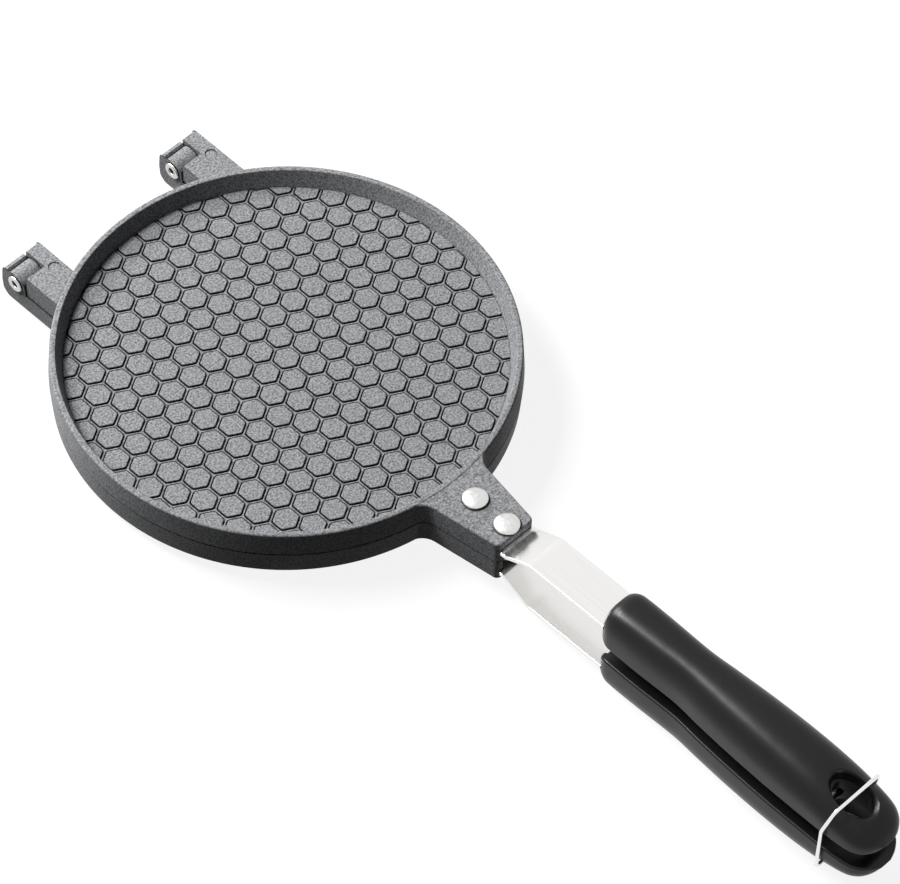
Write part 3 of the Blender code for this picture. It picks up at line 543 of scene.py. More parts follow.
def set_inputs(tree, node, inputs):
    """Link the inputs that come from another node, and set the others."""
    for key, value in inputs.items():
        if isinstance(value, bpy.types.NodeSocket):
            tree.links.new(value, node.inputs[key])
        else:
            node.inputs[key].default_value = value


def colour_mix(tree, factor, first, second):
    """Mix two colours, each a linear colour or another node's output; the colour sockets come last."""
    first, second = (end if isinstance(end, bpy.types.NodeSocket) else (*end, 1) for end in (first, second))
    return add_node(tree, "ShaderNodeMix", {0: factor, 6: first, 7: second}, data_type="RGBA").outputs[2]


def noise(tree, place, millimetres, **inputs):
    """A noise pattern of a real size."""
    inputs.update({"Vector": place, "Scale": per_metre(millimetres)})
    return add_node(tree, "ShaderNodeTexNoise", inputs).outputs["Fac"]


def stretched(tree, value, low, high, first=0.0, last=1.0):
    """Stretch one range of a value onto another."""
    inputs = {"Value": value, "From Min": low, "From Max": high, "To Min": first, "To Max": last}
    return add_node(tree, "ShaderNodeMapRange", inputs).outputs["Result"]


def bumped(tree, height, strength, distance, **inputs):
    """The normal of a surface that a pattern raises."""
    inputs.update({"Height": height, "Strength": strength, "Distance": distance})
    return add_node(tree, "ShaderNodeBump", inputs).outputs["Normal"]


def per_metre(millimetres):
    """The texture scale that gives a pattern of a real size."""
    return 1000 / millimetres


def coated_cast_aluminium(settings):
    """Die-cast aluminium with a sprayed and baked non-stick coating.

    The eye sees a dark grey, half-matt skin with a fine orange peel and lighter mineral grains; painted shade darkens
    its narrow lines and corners.
    """
    material, tree, shader = new_material("coated_cast_aluminium")
    place = add_node(tree, "ShaderNodeTexCoord", {}).outputs["Object"]
    # Real grains, taken as 0.1 mm, are too fine for the picture, so they are drawn 0.8 mm wide
    grain = noise(tree, place, 0.8, Detail=3.0, Roughness=0.55)
    # Uneven spray leaves soft clouds about 14 mm wide
    cloud = noise(tree, place, 14, Detail=2.0)
    tint = colour_mix(tree, stretched(tree, grain, 0.34, 0.66), settings.coating, settings.coating_grain)
    # Painted shade: an occlusion term gives lines and corners narrower than about 1.2 mm the darker coating colour,
    # darker than their relief alone makes them
    painted_shade_mask = add_node(tree, "ShaderNodeAmbientOcclusion", {"Distance": 0.0012}).outputs["AO"]
    set_inputs(tree, shader, {
        "Base Color": colour_mix(tree, stretched(tree, painted_shade_mask, 0.45, 0.90), settings.coating_painted_shade, tint),
        "Roughness": stretched(tree, cloud, 0.3, 0.7, first=0.40, last=0.50),
        "Normal": bumped(tree, grain, strength=0.35, distance=0.00010),
        "IOR": 1.38,
        "Specular IOR Level": 0.08,
    })
    return material


def lined_metal(name, colour, roughness, line_width, line_length, along, depth):
    """A bright metal with fine working lines along one axis, their width and length in millimetres."""
    material, tree, shader = new_material(name)
    place = add_node(tree, "ShaderNodeTexCoord", {}).outputs["Object"]
    scale = [per_metre(line_width)] * 3
    scale[along] = per_metre(line_length)
    drawn = add_node(tree, "ShaderNodeMapping", {"Vector": place, "Scale": scale}).outputs["Vector"]
    lines = add_node(tree, "ShaderNodeTexNoise", {"Vector": drawn, "Scale": 1.0, "Detail": 3.0}).outputs["Fac"]
    dull = tuple(share * 0.90 for share in colour)
    set_inputs(tree, shader, {
        "Base Color": colour_mix(tree, lines, dull, colour),
        "Roughness": stretched(tree, lines, 0.3, 0.7, first=roughness * 0.8, last=roughness * 1.3),
        "Normal": bumped(tree, lines, strength=0.4, distance=depth),
        "Metallic": 1.0,
    })
    return material


def polished_stainless_strap(settings):
    """Stainless steel strip, rolled and polished along its length: almost white, with faint long lines."""
    return lined_metal("polished_stainless_strap", settings.strap, roughness=0.20,
                       line_width=0.25, line_length=30, along=1, depth=0.00001)


def headed_aluminium_rivet(settings):
    """Soft aluminium, headed in a die: a bright satin dome with slight dents."""
    return lined_metal("headed_aluminium_rivet", settings.rivet, roughness=0.26,
                       line_width=1.6, line_length=1.6, along=2, depth=0.00005)


def plated_pin_steel(settings):
    """Zinc-plated tubular steel rivet, rolled over at both ends: bright, with rings from the tool."""
    return lined_metal("plated_pin_steel", settings.pin, roughness=0.28,
                       line_width=0.4, line_length=2.0, along=0, depth=0.00002)


def zinc_plated_screw_steel(settings):
    """Zinc-plated steel: a cool, slightly blue grey with soft blotches of chromate."""
    return lined_metal("zinc_plated_screw_steel", settings.fastener, roughness=0.32,
                       line_width=1.0, line_length=3.0, along=1, depth=0.00002)


def drawn_spring_wire(settings):
    """Spring steel, drawn through a die and left bright: white highlights with long draw lines."""
    return lined_metal("drawn_spring_wire", settings.wire, roughness=0.18,
                       line_width=0.3, line_length=6.0, along=2, depth=0.00001)


def moulded_phenolic(settings):
    """Phenolic resin, pressed in a polished mould: black, with a soft sheen and a faint waviness."""
    material, tree, shader = new_material("moulded_phenolic")
    place = add_node(tree, "ShaderNodeTexCoord", {}).outputs["Object"]
    # Shrinkage over the thick sections leaves waves about 9 mm long
    wave = noise(tree, place, 9, Detail=1.0)
    # The filler shows as a fine peel, drawn 0.6 mm wide
    peel = noise(tree, place, 0.6, Detail=2.0)
    waves = bumped(tree, wave, strength=0.25, distance=0.0004)
    paler = tuple(share * 1.6 for share in settings.moulding)
    set_inputs(tree, shader, {
        "Base Color": colour_mix(tree, peel, settings.moulding, paler),
        "Roughness": stretched(tree, peel, 0.3, 0.7, first=0.30, last=0.36),
        "Normal": bumped(tree, peel, strength=0.10, distance=0.00004, Normal=waves),
        "IOR": 1.5,
        "Specular IOR Level": 0.24,
    })
    return material


def cell_centres(reach, pitch):
    """Centres of the honeycomb's cells out to a radius, with one cell on the plate's axis."""
    row_step = pitch * sqrt(3) / 2
    rows = ceil(reach / row_step)
    columns = ceil(reach / pitch) + 1
    centres = []
    for row in range(-rows, rows + 1):
        indent = pitch / 2 if row % 2 else 0
        for column in range(-columns, columns + 1):
            centre = Vector((column * pitch + indent, row * row_step, 0))
            if centre.length < reach:
                centres.append(centre)
    return centres


def rounded_cell(centre, half, corner, height, steps=2):
    """A cell's outline at one height, as six rounded corners."""
    corner = min(corner, half * CELL_CORNER_SHARE)
    outline = []
    for side in range(6):
        turn = radians(30 + 60 * side)
        hub = (half - corner) / cos(pi / 6)
        middle = (centre.x + hub * cos(turn), centre.y + hub * sin(turn))
        outline.append([(x, y, height) for x, y in arc(middle, corner, 60 * side, 60 * side + 60, steps)])
    return outline


def honeycomb(reach, groove, crest, cap, settings):
    """A block whose one face is a honeycomb of raised cells, each inside a sunk line, between flat webs."""
    shape = bmesh.new()
    pitch = settings.cell_pitch
    half = pitch / 2
    foot = half - settings.groove_width / 2
    valley = foot - settings.line_width
    top = valley - settings.wall_run
    turn_in = settings.edge_round
    down = turn_in if crest < groove else -turn_in
    sunk = groove + (settings.line_depth if crest < groove else -settings.line_depth)
    rings = ((foot, groove), (valley, sunk),
             *((top + turn_in * out, crest + down * fall) for out, fall in CELL_EDGE_SHARES))
    for centre in cell_centres(reach + pitch, pitch):
        outer = []
        for side in range(6):
            turn = radians(30 + 60 * side)
            far = half / cos(pi / 6)
            outer.append(shape.verts.new((centre.x + far * cos(turn), centre.y + far * sin(turn), groove)))
        loops = [[[shape.verts.new(point) for point in corner] for corner in
                  rounded_cell(centre, size, settings.corner_round, height)] for size, height in rings]
        for side in range(6):
            after = (side + 1) % 6
            near, far = loops[0][side], loops[0][after]
            shape.faces.new((outer[side], outer[after], far[0], near[-1]))
            for first, second in zip(near, near[1:]):
                shape.faces.new((outer[side], second, first))
        flat = [[point for corner in loop for point in corner] for loop in loops]
        skin(shape, flat)
        shape.faces.new(flat[-1])
    bmesh.ops.remove_doubles(shape, verts=shape.verts, dist=MERGE_DISTANCE)
    border = [edge for edge in shape.edges if edge.is_boundary]
    walls = bmesh.ops.extrude_edge_only(shape, edges=border)["geom"]
    for vertex in [item for item in walls if isinstance(item, bmesh.types.BMVert)]:
        vertex.co.z = cap
    open_edges = [edge for edge in shape.edges if edge.is_boundary]
    bmesh.ops.contextual_create(shape, geom=open_edges)
    bmesh.ops.recalc_face_normals(shape, faces=shape.faces)
    return shape


def recess(settings):
    """What the mould leaves open above a plate's outer face, honeycomb included."""
    floor = BAKE_DEPTH + WEB_THICKNESS
    sunk = floor - settings.line_depth * TOOL_DEPTH_SHARE
    rim = RIM_RADIUS - RIM_WIDTH
    foot = rim - RECESS_DRAFT
    top = PLATE_THICKNESS + OVERRUN
    lip = arc((rim + RIM_INNER_ROUND, PLATE_THICKNESS - RIM_INNER_ROUND), RIM_INNER_ROUND, 90, 170, steps=4)
    line = [(0, sunk), (foot - settings.relief / 2, sunk), lip[-1]]
    corner = filleted([Vector((*point, 0)) for point in line], [RECESS_FILLET], steps=4)[1:-1]
    profile = [(0, top), (rim + RIM_INNER_ROUND, top), *lip, *[(point.x, point.y) for point in reversed(corner)],
               (0, sunk)]
    cells = honeycomb(rim, floor, floor + settings.relief, top + OVERRUN, settings)
    return worked("recess", turned(profile, settings.steps), keep=[cells])


def baking_face(settings):
    """The shallow baking face inside the land, honeycomb included."""
    deep = BAKE_DEPTH + settings.line_depth * TOOL_DEPTH_SHARE
    profile = [(0, deep), (BAKE_RADIUS - BAKE_DEPTH, deep), (BAKE_RADIUS, CLEARANCE / 2), (BAKE_RADIUS, -OVERRUN),
               (0, -OVERRUN)]
    cells = honeycomb(BAKE_RADIUS, BAKE_DEPTH, BAKE_DEPTH - BAKE_RELIEF, -OVERRUN - OVERRUN, settings)
    return worked("baking_face", turned(profile, settings.steps), keep=[cells])


def plate_blank(steps):
    """The plate before its faces are sunk: a drafted disc with rounded edges."""
    low = CLEARANCE / 2
    profile = [
        (0, PLATE_THICKNESS),
        *arc((RIM_RADIUS - RIM_ROUND, PLATE_THICKNESS - RIM_ROUND), RIM_ROUND, 90, 4, steps=5),
        (PLATE_RADIUS - PARTING_EDGE / 10, low + PARTING_EDGE),
        (PLATE_RADIUS - PARTING_EDGE / 2, low + PARTING_EDGE / 5),
        (PLATE_RADIUS - PARTING_EDGE, low),
        (0, low),
    ]
    return turned(profile, steps)


def lug_half_width(place):
    """Half the width of the front lug at a distance from the plate's centre."""
    return LUG_END_WIDTH / 2 + LUG_TAPER_SHARE * (LUG_END - place)


def front_lug():
    """The tapered lug that carries the strap, flared where it meets the plate."""
    root_half = lug_half_width(RIM_RADIUS)
    root_place = sqrt(RIM_RADIUS ** 2 - root_half ** 2)
    flare_half = root_half + LUG_ROOT_REACH
    flare_place = sqrt(RIM_RADIUS ** 2 - flare_half ** 2)
    inner_place = flare_place - RIM_WIDTH
    right = [
        (0, -LUG_END, 0),
        (LUG_END_WIDTH / 2, -LUG_END, 0),
        (lug_half_width(root_place), -root_place, 0),
        (flare_half, -flare_place, 0),
        (flare_half, -inner_place, 0),
    ]
    rounded = filleted(right, (LUG_CORNER, LUG_ROOT_FILLET, RIM_ROUND), steps=6)
    half = [(point.x, point.y) for point in rounded[1:]]
    outline = half + [(-x, y) for x, y in reversed(half)]
    lug = prism(outline, CLEARANCE / 2 + LUG_SET_BACK, LUG_TOP)
    return softened(lug, LUG_ROUND, segments=4, chosen=lies_on_top)


def lies_on_top(edge):
    """Whether an edge lies in the front lug's top face."""
    return all(LUG_TOP - vertex.co.z < MERGE_DISTANCE for vertex in edge.verts)


def lug_channel():
    """The open channel under the lug's roof, where the strap lies."""
    half = STRAP_LUG_TONGUE / 2 + CLEARANCE
    return block(half, -half, CHANNEL_LENGTH - LUG_END, -LUG_END - OVERRUN, -OVERRUN, LUG_ROOF_HEIGHT)


def drill(radius, low, high, steps=BORE_STEPS):
    """A round tool from one height to another."""
    return turned([(0, high), (radius, high), (radius, low), (0, low)], steps)


def rivet_holes(top):
    """Tools for the shanks of both rivets, up to a height."""
    return [moved(drill(RIVET_SHANK_RADIUS + CLEARANCE, 0, top), shift(along=-place)) for place in RIVET_PLACES]


def notch(left, right, start):
    """The room that a hinge lug leaves for its mate."""
    end = PIN_PLACE + EAR_REACH + OVERRUN
    return block(left, right, start, end, -HINGE_LOWER_BOTTOM - OVERRUN, HINGE_UPPER_TOP + OVERRUN)


def upper_hinge_lug(centre):
    """A hinge lug of the upper plate, which ends in a knuckle around the pin on its +X side."""
    left = centre - HINGE_LUG_WIDTH / 2
    right = centre + HINGE_LUG_WIDTH / 2
    start = PLATE_RADIUS - HINGE_LUG_ROOT
    low = CLEARANCE / 2 + LUG_SET_BACK
    drop = degrees(asin((PIN_UP - low) / KNUCKLE_RADIUS))
    under = arc((PIN_PLACE, PIN_UP), KNUCKLE_RADIUS, 180 + drop, 330, steps=14)
    top_corner = arc((PIN_PLACE + KNUCKLE_REACH - KNUCKLE_CORNER, HINGE_UPPER_TOP - KNUCKLE_CORNER),
                     KNUCKLE_CORNER, 0, 90, steps=5)
    outline = [(start, low), *under, *top_corner, (start, HINGE_UPPER_TOP)]
    blank = softened(side_prism(outline, left, right), HINGE_ROUND, chosen=lies_across)
    room = notch(left - OVERRUN, right - KNUCKLE_WIDTH, PIN_PLACE - SHOULDER_GAP)
    mark = drill(EJECTOR_RADIUS, HINGE_UPPER_TOP - EJECTOR_DEPTH, HINGE_UPPER_TOP + OVERRUN)
    mark = moved(mark, shift(centre + EJECTOR_PLACE[0], EJECTOR_PLACE[1]))
    return worked("upper_hinge_lug", blank, cut=[room, mark])


def lies_across(edge):
    """Whether an edge lies in a side face of a hinge lug."""
    return abs(edge.verts[0].co.x - edge.verts[1].co.x) < MERGE_DISTANCE


def lower_hinge_lug(centre):
    """A hinge lug of the lower plate, which ends in an ear with a barrel and a stop lip on its -X side."""
    left = centre - HINGE_LUG_WIDTH / 2 - EAR_PROUD
    right = centre + HINGE_LUG_WIDTH / 2
    start = PLATE_RADIUS - HINGE_LUG_ROOT
    high = -CLEARANCE / 2 - LUG_SET_BACK
    low = -HINGE_LOWER_BOTTOM
    outer = PIN_PLACE + EAR_REACH
    bottom = arc((outer - EAR_CORNER, low + EAR_CORNER), EAR_CORNER, 270, 360, steps=8)
    lip_in = (PIN_PLACE + STOP_LIP_OUT, PIN_UP + STOP_LIP_UP)
    lip_out = (lip_in[0] + STOP_LIP_WIDTH, lip_in[1] - STOP_LIP_WIDTH / 3)
    lip_side = (outer, lip_out[1] - STOP_LIP_WIDTH)
    groove = (lip_in[0] - STOP_GROOVE, lip_in[1] - STOP_GROOVE)
    barrel = arc((PIN_PLACE, PIN_UP), EAR_RADIUS, BARREL_START, 180, steps=14)
    seat = PIN_PLACE - EAR_RADIUS
    outline = [(start, low), *bottom, lip_side, lip_out, lip_in, groove, *barrel, (seat, high), (start, high)]
    blank = softened(side_prism(outline, left, right), HINGE_ROUND / 2, segments=2, chosen=lies_across)
    for vertex in blank.verts:
        vertex.co.y = min(vertex.co.y, outer)
    room = notch(left + EAR_WIDTH, right + OVERRUN, PIN_PLACE - NOTCH_GAP)
    return worked("lower_hinge_lug", blank, cut=[room])


def cast_plate(side, settings):
    """One plate with its lugs, both honeycomb faces, its channel and its holes, in the half's own frame."""
    flip = Matrix.Identity(4) if side == "upper" else Matrix.Rotation(pi, 4, "Y")
    make_lug = upper_hinge_lug if side == "upper" else lower_hinge_lug
    lugs = [moved(make_lug(centre), flip) for centre in HINGES]
    bores = [moved(drill(PIN_RADIUS + CLEARANCE, -HINGE_LUG_WIDTH, HINGE_LUG_WIDTH),
                   flip @ shift(centre, PIN_PLACE, PIN_UP) @ CROSSWISE) for centre in HINGES]
    tools = [recess(settings), baking_face(settings), lug_channel(), *rivet_holes(LUG_TOP + OVERRUN), *bores]
    return worked(side + "_plate_work", plate_blank(settings.steps), join=[front_lug(), *lugs], cut=tools)


def pin_shape():
    """A tubular rivet along Z with a flared, rounded ring at each end."""
    half = (HINGE_LUG_WIDTH + EAR_PROUD) / 2 + CLEARANCE
    crest = (PIN_BORE_RADIUS + PIN_HEAD_RADIUS) / 2
    wide = PIN_HEAD_RADIUS - crest
    roll = [(crest + wide * cos(a), half + PIN_HEAD_THICKNESS * sin(a)) for a in angles(180, 0, steps=9)]
    top = [(PIN_BORE_RADIUS, 0), *roll, (PIN_RADIUS, half)]
    mirrored = [(radius, -height) for radius, height in reversed(top[1:])]
    return turned(top + mirrored, TURNED_STEPS)


def rivet_shape():
    """A rivet along Z with a domed head on the lug and a flat tail under the strap."""
    seat = LUG_TOP + CLEARANCE
    tail = STRAP_LUG_LEVEL - STRAP_THICKNESS / 2 - CLEARANCE
    rise = RIVET_HEAD_HEIGHT - RIVET_HEAD_LIP
    dome = [(RIVET_HEAD_RADIUS * sin(a), seat + RIVET_HEAD_LIP + rise * cos(a)) for a in angles(0, 90, steps=12)]
    profile = dome + [
        (RIVET_HEAD_RADIUS - RIVET_HEAD_LIP / 6, seat),
        (RIVET_SHANK_RADIUS, seat),
        (RIVET_SHANK_RADIUS, tail),
        (RIVET_TAIL_RADIUS, tail),
        (RIVET_TAIL_RADIUS, tail - RIVET_TAIL_HEIGHT / 2),
        (RIVET_TAIL_RADIUS - RIVET_TAIL_HEIGHT / 4, tail - RIVET_TAIL_HEIGHT * RIVET_TAIL_SHARE),
        (RIVET_SHANK_RADIUS, tail - RIVET_TAIL_HEIGHT),
        (0, tail - RIVET_TAIL_HEIGHT),
    ]
    return turned(profile, TURNED_STEPS)


def strap_section(half_width, point, across):
    """The rounded outline of the strap's strip at one point of its bend line."""
    half = STRAP_THICKNESS / 2
    hubs = ((half_width - STRAP_EDGE, half - STRAP_EDGE, 0), (STRAP_EDGE - half_width, half - STRAP_EDGE, 90),
            (STRAP_EDGE - half_width, STRAP_EDGE - half, 180), (half_width - STRAP_EDGE, STRAP_EDGE - half, 270))
    outline = []
    for x, up, start in hubs:
        for side, level in arc((x, up), STRAP_EDGE, start, start + 90, steps=3):
            outline.append((side, point.y + across.y * level, point.z + across.z * level))
    return outline


def strap_shape():
    """A strap of flat steel: a riveted tongue, a rise, a level run and a turned-down tab in the handle."""
    start = LUG_END - CHANNEL_LENGTH + CLEARANCE
    rise = LUG_END + STRAP_LEVEL_RUN
    line = [
        (0, -start, STRAP_LUG_LEVEL),
        (0, -rise, STRAP_LUG_LEVEL),
        (0, -rise - STRAP_RISE_RUN, STRAP_HANDLE_LEVEL),
        (0, -TAB_PLACE, STRAP_HANDLE_LEVEL),
        (0, -TAB_PLACE, STRAP_HANDLE_LEVEL - STRAP_TAB_DROP),
    ]
    bends = filleted(line, (STRAP_BEND, STRAP_BEND, STRAP_TAB_BEND))
    for place in (LUG_END + CLEARANCE, LUG_END + CLEARANCE + STRAP_STEP, SHOULDER_END - STRAP_STEP, SHOULDER_END):
        spot = next(n for n in range(1, len(bends)) if bends[n].y < -place < bends[n - 1].y)
        bends.insert(spot, Vector((0, -place, bends[spot].z)))
    outlines = []
    for number, point in enumerate(bends):
        before = bends[max(number - 1, 0)]
        after = bends[min(number + 1, len(bends) - 1)]
        run = (after - before).normalized()
        across = Vector((0, run.z, -run.y))
        away = -point.y
        half = STRAP_WIDTH / 2
        if away <= LUG_END + CLEARANCE + STRAP_STEP / 2:
            half = STRAP_LUG_TONGUE / 2
        elif away >= SHOULDER_END - STRAP_STEP / 2:
            half = STRAP_HANDLE_TONGUE / 2
        outlines.append(strap_section(half, point, across))
    bore = moved(drill(SCREW_HOLE_RADIUS, -OVERRUN, OVERRUN), on_screw_line(TAB_PLACE))
    return worked("strap_work", lofted(outlines), cut=[*rivet_holes(LUG_TOP), bore])


def smooth_between(table, place):
    """Read a table of shares at a place, on curves that never overshoot its points."""
    number = max(n for n in range(len(table) - 1) if table[n][0] <= place or n == 0)
    low, high = table[number], table[number + 1]
    step = high[0] - low[0]
    share = (place - low[0]) / step

    def slope(index, column):
        """The curve's slope at a point of the table."""
        if index in (0, len(table) - 1):
            near = min(index, len(table) - 2)
            return (table[near + 1][column] - table[near][column]) / (table[near + 1][0] - table[near][0])
        before = (table[index][column] - table[index - 1][column]) / (table[index][0] - table[index - 1][0])
        after = (table[index + 1][column] - table[index][column]) / (table[index + 1][0] - table[index][0])
        return 2 * before * after / (before + after) if before * after > 0 else 0

    values = [place]
    for column in range(1, len(low)):
        start, end = slope(number, column) * step, slope(number + 1, column) * step
        values.append((2 * share ** 3 - 3 * share ** 2 + 1) * low[column]
                      + (share ** 3 - 2 * share ** 2 + share) * start
                      + (3 * share ** 2 - 2 * share ** 3) * high[column]
                      + (share ** 3 - share ** 2) * end)
    return values


def handle_section(shares, crown_steps):
    """The closed outline of a handle at one station, from the shares of its sizes."""
    place, width, height, lift, squareness = shares
    half = HANDLE_WIDTH / 2 * width
    top = HANDLE_DEPTH * height
    bottom = HANDLE_STAND_OFF + HANDLE_DEPTH * lift
    crown = bottom + (top - bottom) * HANDLE_CROWN_SHARE
    edge = min(HANDLE_EDGE, half / 2, (crown - bottom) / 2)
    points = arc((-half + edge, bottom + edge), edge, 180, 270, steps=4)
    points += arc((half - edge, bottom + edge), edge, 270, 360, steps=4)
    for step in range(crown_steps + 1):
        angle = pi * step / crown_steps
        across = abs(cos(angle)) ** (2 / squareness) * (1 if angle < pi / 2 else -1)
        up = sin(angle) ** (2 / squareness) if 0 < step < crown_steps else 0
        points.append((half * across, crown + (top - crown) * up))
    along = -HANDLE_FRONT - HANDLE_LENGTH * place
    return [Vector((x, along, z)) for x, z in points]


def hanging_hole():
    """The oval hanging hole, and the rounded lip that follows the crown's slope round it."""
    crown = HANDLE_DEPTH * HOLE_CROWN_SHARE
    radius = HOLE_WIDTH / 2
    oval = Matrix.Diagonal((1, HOLE_LENGTH / HOLE_WIDTH, 1, 1))
    bore = moved(drill(radius, -OVERRUN, HANDLE_DEPTH + OVERRUN, HOLE_STEPS), oval)
    lip = [(radius + HOLE_FLARE * (1 - cos(a)), HOLE_FLARE_DEPTH * (sin(a) - 1)) for a in angles(90, 0, steps=8)]
    top = HANDLE_DEPTH - crown + OVERRUN
    dish = turned([(0, top), (lip[0][0], top), *lip, (0, lip[-1][1])], HOLE_STEPS)
    near, far = (smooth_between(HANDLE_SHARES, (HOLE_PLACE - HANDLE_FRONT + side * radius) / HANDLE_LENGTH)[2]
                 for side in (-1, 1))
    fall = atan2(HANDLE_DEPTH * (near - far), radius * 2)
    slope = shift(up=crown) @ Matrix.Rotation(fall, 4, "X")
    return [moved(tool, shift(along=-HOLE_PLACE)) for tool in (bore, moved(moved(dish, oval), slope))]


def core_out():
    """The round-ended pocket in the handle's inner face, across which the long screw shows."""
    half = CORE_WIDTH / 2
    near = -HANDLE_FRONT - CORE_START - half
    far = CORE_WALL + SCREW_COUNTERBORE + HOLE_LENGTH / 2 - HOLE_PLACE + half
    outline = arc((0, near), half, 0, 180, CORE_STEPS) + arc((0, far), half, 180, 360, CORE_STEPS)
    return prism(outline, -OVERRUN, CORE_DEPTH)


def socket_tools():
    """The socket that takes the strap's tongue, and the shallow seat for its shoulders."""
    half = STRAP_HANDLE_TONGUE / 2 + CLEARANCE
    top = STRAP_HANDLE_LEVEL + STRAP_THICKNESS / 2 + CLEARANCE
    front = -HANDLE_FRONT + OVERRUN
    back = -HANDLE_FRONT - SOCKET_REACH
    deep = block(half, -half, front, back, SOCKET_FLOOR, top)
    wide = STRAP_WIDTH / 2 + CLEARANCE
    seat = -SHOULDER_END - CLEARANCE
    under = STRAP_HANDLE_LEVEL - STRAP_THICKNESS / 2 - CLEARANCE
    return [deep, block(wide, -wide, front, seat, under, top)]


def handle_shape(side, settings):
    """A moulded handle, lofted from its sections, with its socket, core-out, bores and hanging hole."""
    places = [(1 - cos(pi * step / settings.stations)) / 2 for step in range(settings.stations + 1)]
    outlines = [handle_section(smooth_between(HANDLE_SHARES, place), settings.crown_steps) for place in places]
    bore = drill(SCREW_HOLE_RADIUS, 0, HOLE_WALL - HANDLE_FRONT + OVERRUN)
    counterbore = drill(WASHER_RADIUS + CLEARANCE, -SCREW_COUNTERBORE, OVERRUN)
    tools = [*socket_tools(), core_out(), *hanging_hole(), moved(bore, on_screw_line(HANDLE_FRONT)),
             moved(counterbore, on_screw_line(HOLE_WALL))]
    if side == "lower":
        pivot = HALVES["lower"].inverted() @ Matrix.Translation(PIVOT) @ CROSSWISE
        tools.append(moved(drill(WIRE_RADIUS + CLEARANCE, -HANDLE_WIDTH, HANDLE_WIDTH), pivot))
    return worked(side + "_handle_work", lofted(outlines), cut=tools)


def washer_shape():
    """The washer under the long screw's head."""
    place = HOLE_WALL - SCREW_COUNTERBORE + CLEARANCE
    edge = WASHER_THICKNESS / 4
    profile = [(SCREW_HOLE_RADIUS, 0), (SCREW_HOLE_RADIUS, WASHER_THICKNESS), (WASHER_RADIUS - edge, WASHER_THICKNESS),
               (WASHER_RADIUS, WASHER_THICKNESS - edge), (WASHER_RADIUS, 0)]
    return moved(turned(profile, TURNED_STEPS), on_screw_line(place))


def screw_shape():
    """The screw from the hanging hole's wall to the strap's tab, with a low domed head and its thread."""
    head = HOLE_WALL - SCREW_COUNTERBORE + WASHER_THICKNESS + CLEARANCE * 2
    low = NUT_FACE - NUT_THICKNESS - head
    ridges = int(THREAD_LENGTH / THREAD_PITCH)
    thread = []
    for number in range(ridges):
        height = low + THREAD_LENGTH - number * THREAD_PITCH
        thread += [(SCREW_RADIUS, height), (SCREW_RADIUS - THREAD_DEPTH, height - THREAD_PITCH / 2)]
    rise = 1 - SCREW_HEAD_EDGE_SHARE
    dome = [(SCREW_HEAD_RADIUS * sin(a), SCREW_HEAD_HEIGHT * (SCREW_HEAD_EDGE_SHARE + rise * cos(a)))
            for a in angles(0, 90, steps=6)]
    profile = [
        *dome,
        (SCREW_HEAD_RADIUS, 0),
        (SCREW_RADIUS, 0),
        *thread,
        (SCREW_RADIUS - THREAD_DEPTH, low),
        (0, low),
    ]
    return moved(turned(profile, BORE_STEPS), on_screw_line(head))


def nut_shape():
    """The nut on the plate's side of the strap's tab, with chamfered corners."""
    corner = NUT_FLATS / sqrt(3)
    chamfer = corner * NUT_CHAMFER_SHARE
    low = NUT_FACE - NUT_THICKNESS
    hexagon = prism([(corner * cos(a), corner * sin(a)) for a in (pi * side / 3 for side in range(6))], low, NUT_FACE)
    envelope = [
        (0, NUT_FACE),
        (corner - chamfer, NUT_FACE),
        (corner + CLEARANCE, NUT_FACE - chamfer),
        (corner + CLEARANCE, low + chamfer),
        (corner - chamfer, low),
        (0, low),
    ]
    bore = drill(SCREW_HOLE_RADIUS, 0, NUT_FACE + OVERRUN)
    nut = worked("nut_work", hexagon, keep=[turned(envelope, TURNED_STEPS)], cut=[bore])
    return moved(nut, on_screw_line(0))


def bail_shape():
    """The sprung wire bail, from one pivot hole over the upper handle to the other."""
    side = HANDLE_WIDTH / 2 + BAIL_SIDE_GAP + WIRE_RADIUS
    inner = HOLE_WIDTH / 2 + BAIL_END_REACH
    rise = IRON.translation.z - PIVOT.z
    top = HANDLE_DEPTH * HOLE_CROWN_SHARE + BAIL_TOP_LIFT + WIRE_RADIUS
    right = [
        (inner, 0, 0),
        (side, 0, 0),
        (side, -BAIL_KINK_OUT, BAIL_KINK_UP),
        (side - BAIL_TOP_DRAW_IN, -BAIL_TOP_OUT, top + rise),
    ]
    line = right + [(-x, y, z) for x, y, z in reversed(right)]
    bends = filleted(line, (BAIL_BEND, BAIL_KINK_BEND, BAIL_BEND, BAIL_BEND, BAIL_KINK_BEND, BAIL_BEND))
    curve = bpy.data.curves.new("bail_line", "CURVE")
    curve.dimensions = "3D"
    curve.bevel_depth = WIRE_RADIUS
    curve.bevel_resolution = 6
    curve.use_fill_caps = True
    spline = curve.splines.new("POLY")
    spline.points.add(len(bends) - 1)
    for point, bend in zip(spline.points, bends):
        point.co = (*bend, 1)
    shape = final_shape(in_scene("bail_line", curve))
    bmesh.ops.remove_doubles(shape, verts=shape.verts, dist=MERGE_DISTANCE)
    return shape


class IRON_OT_cast_plates(Operator):
    """Finish both cast plates"""
    bl_idname = "iron.cast_plates"
    bl_label = "Cast Plates"

    def execute(self, context):
        settings = context.scene.iron_plate
        finish = coated_cast_aluminium(settings)
        for side, matrix in HALVES.items():
            place_piece(side + "_plate_casting", cast_plate(side, settings), matrix, finish, BODIES[side],
                        side + "_plate", CASTING_SHADED_ANGLE)
        return {"FINISHED"}


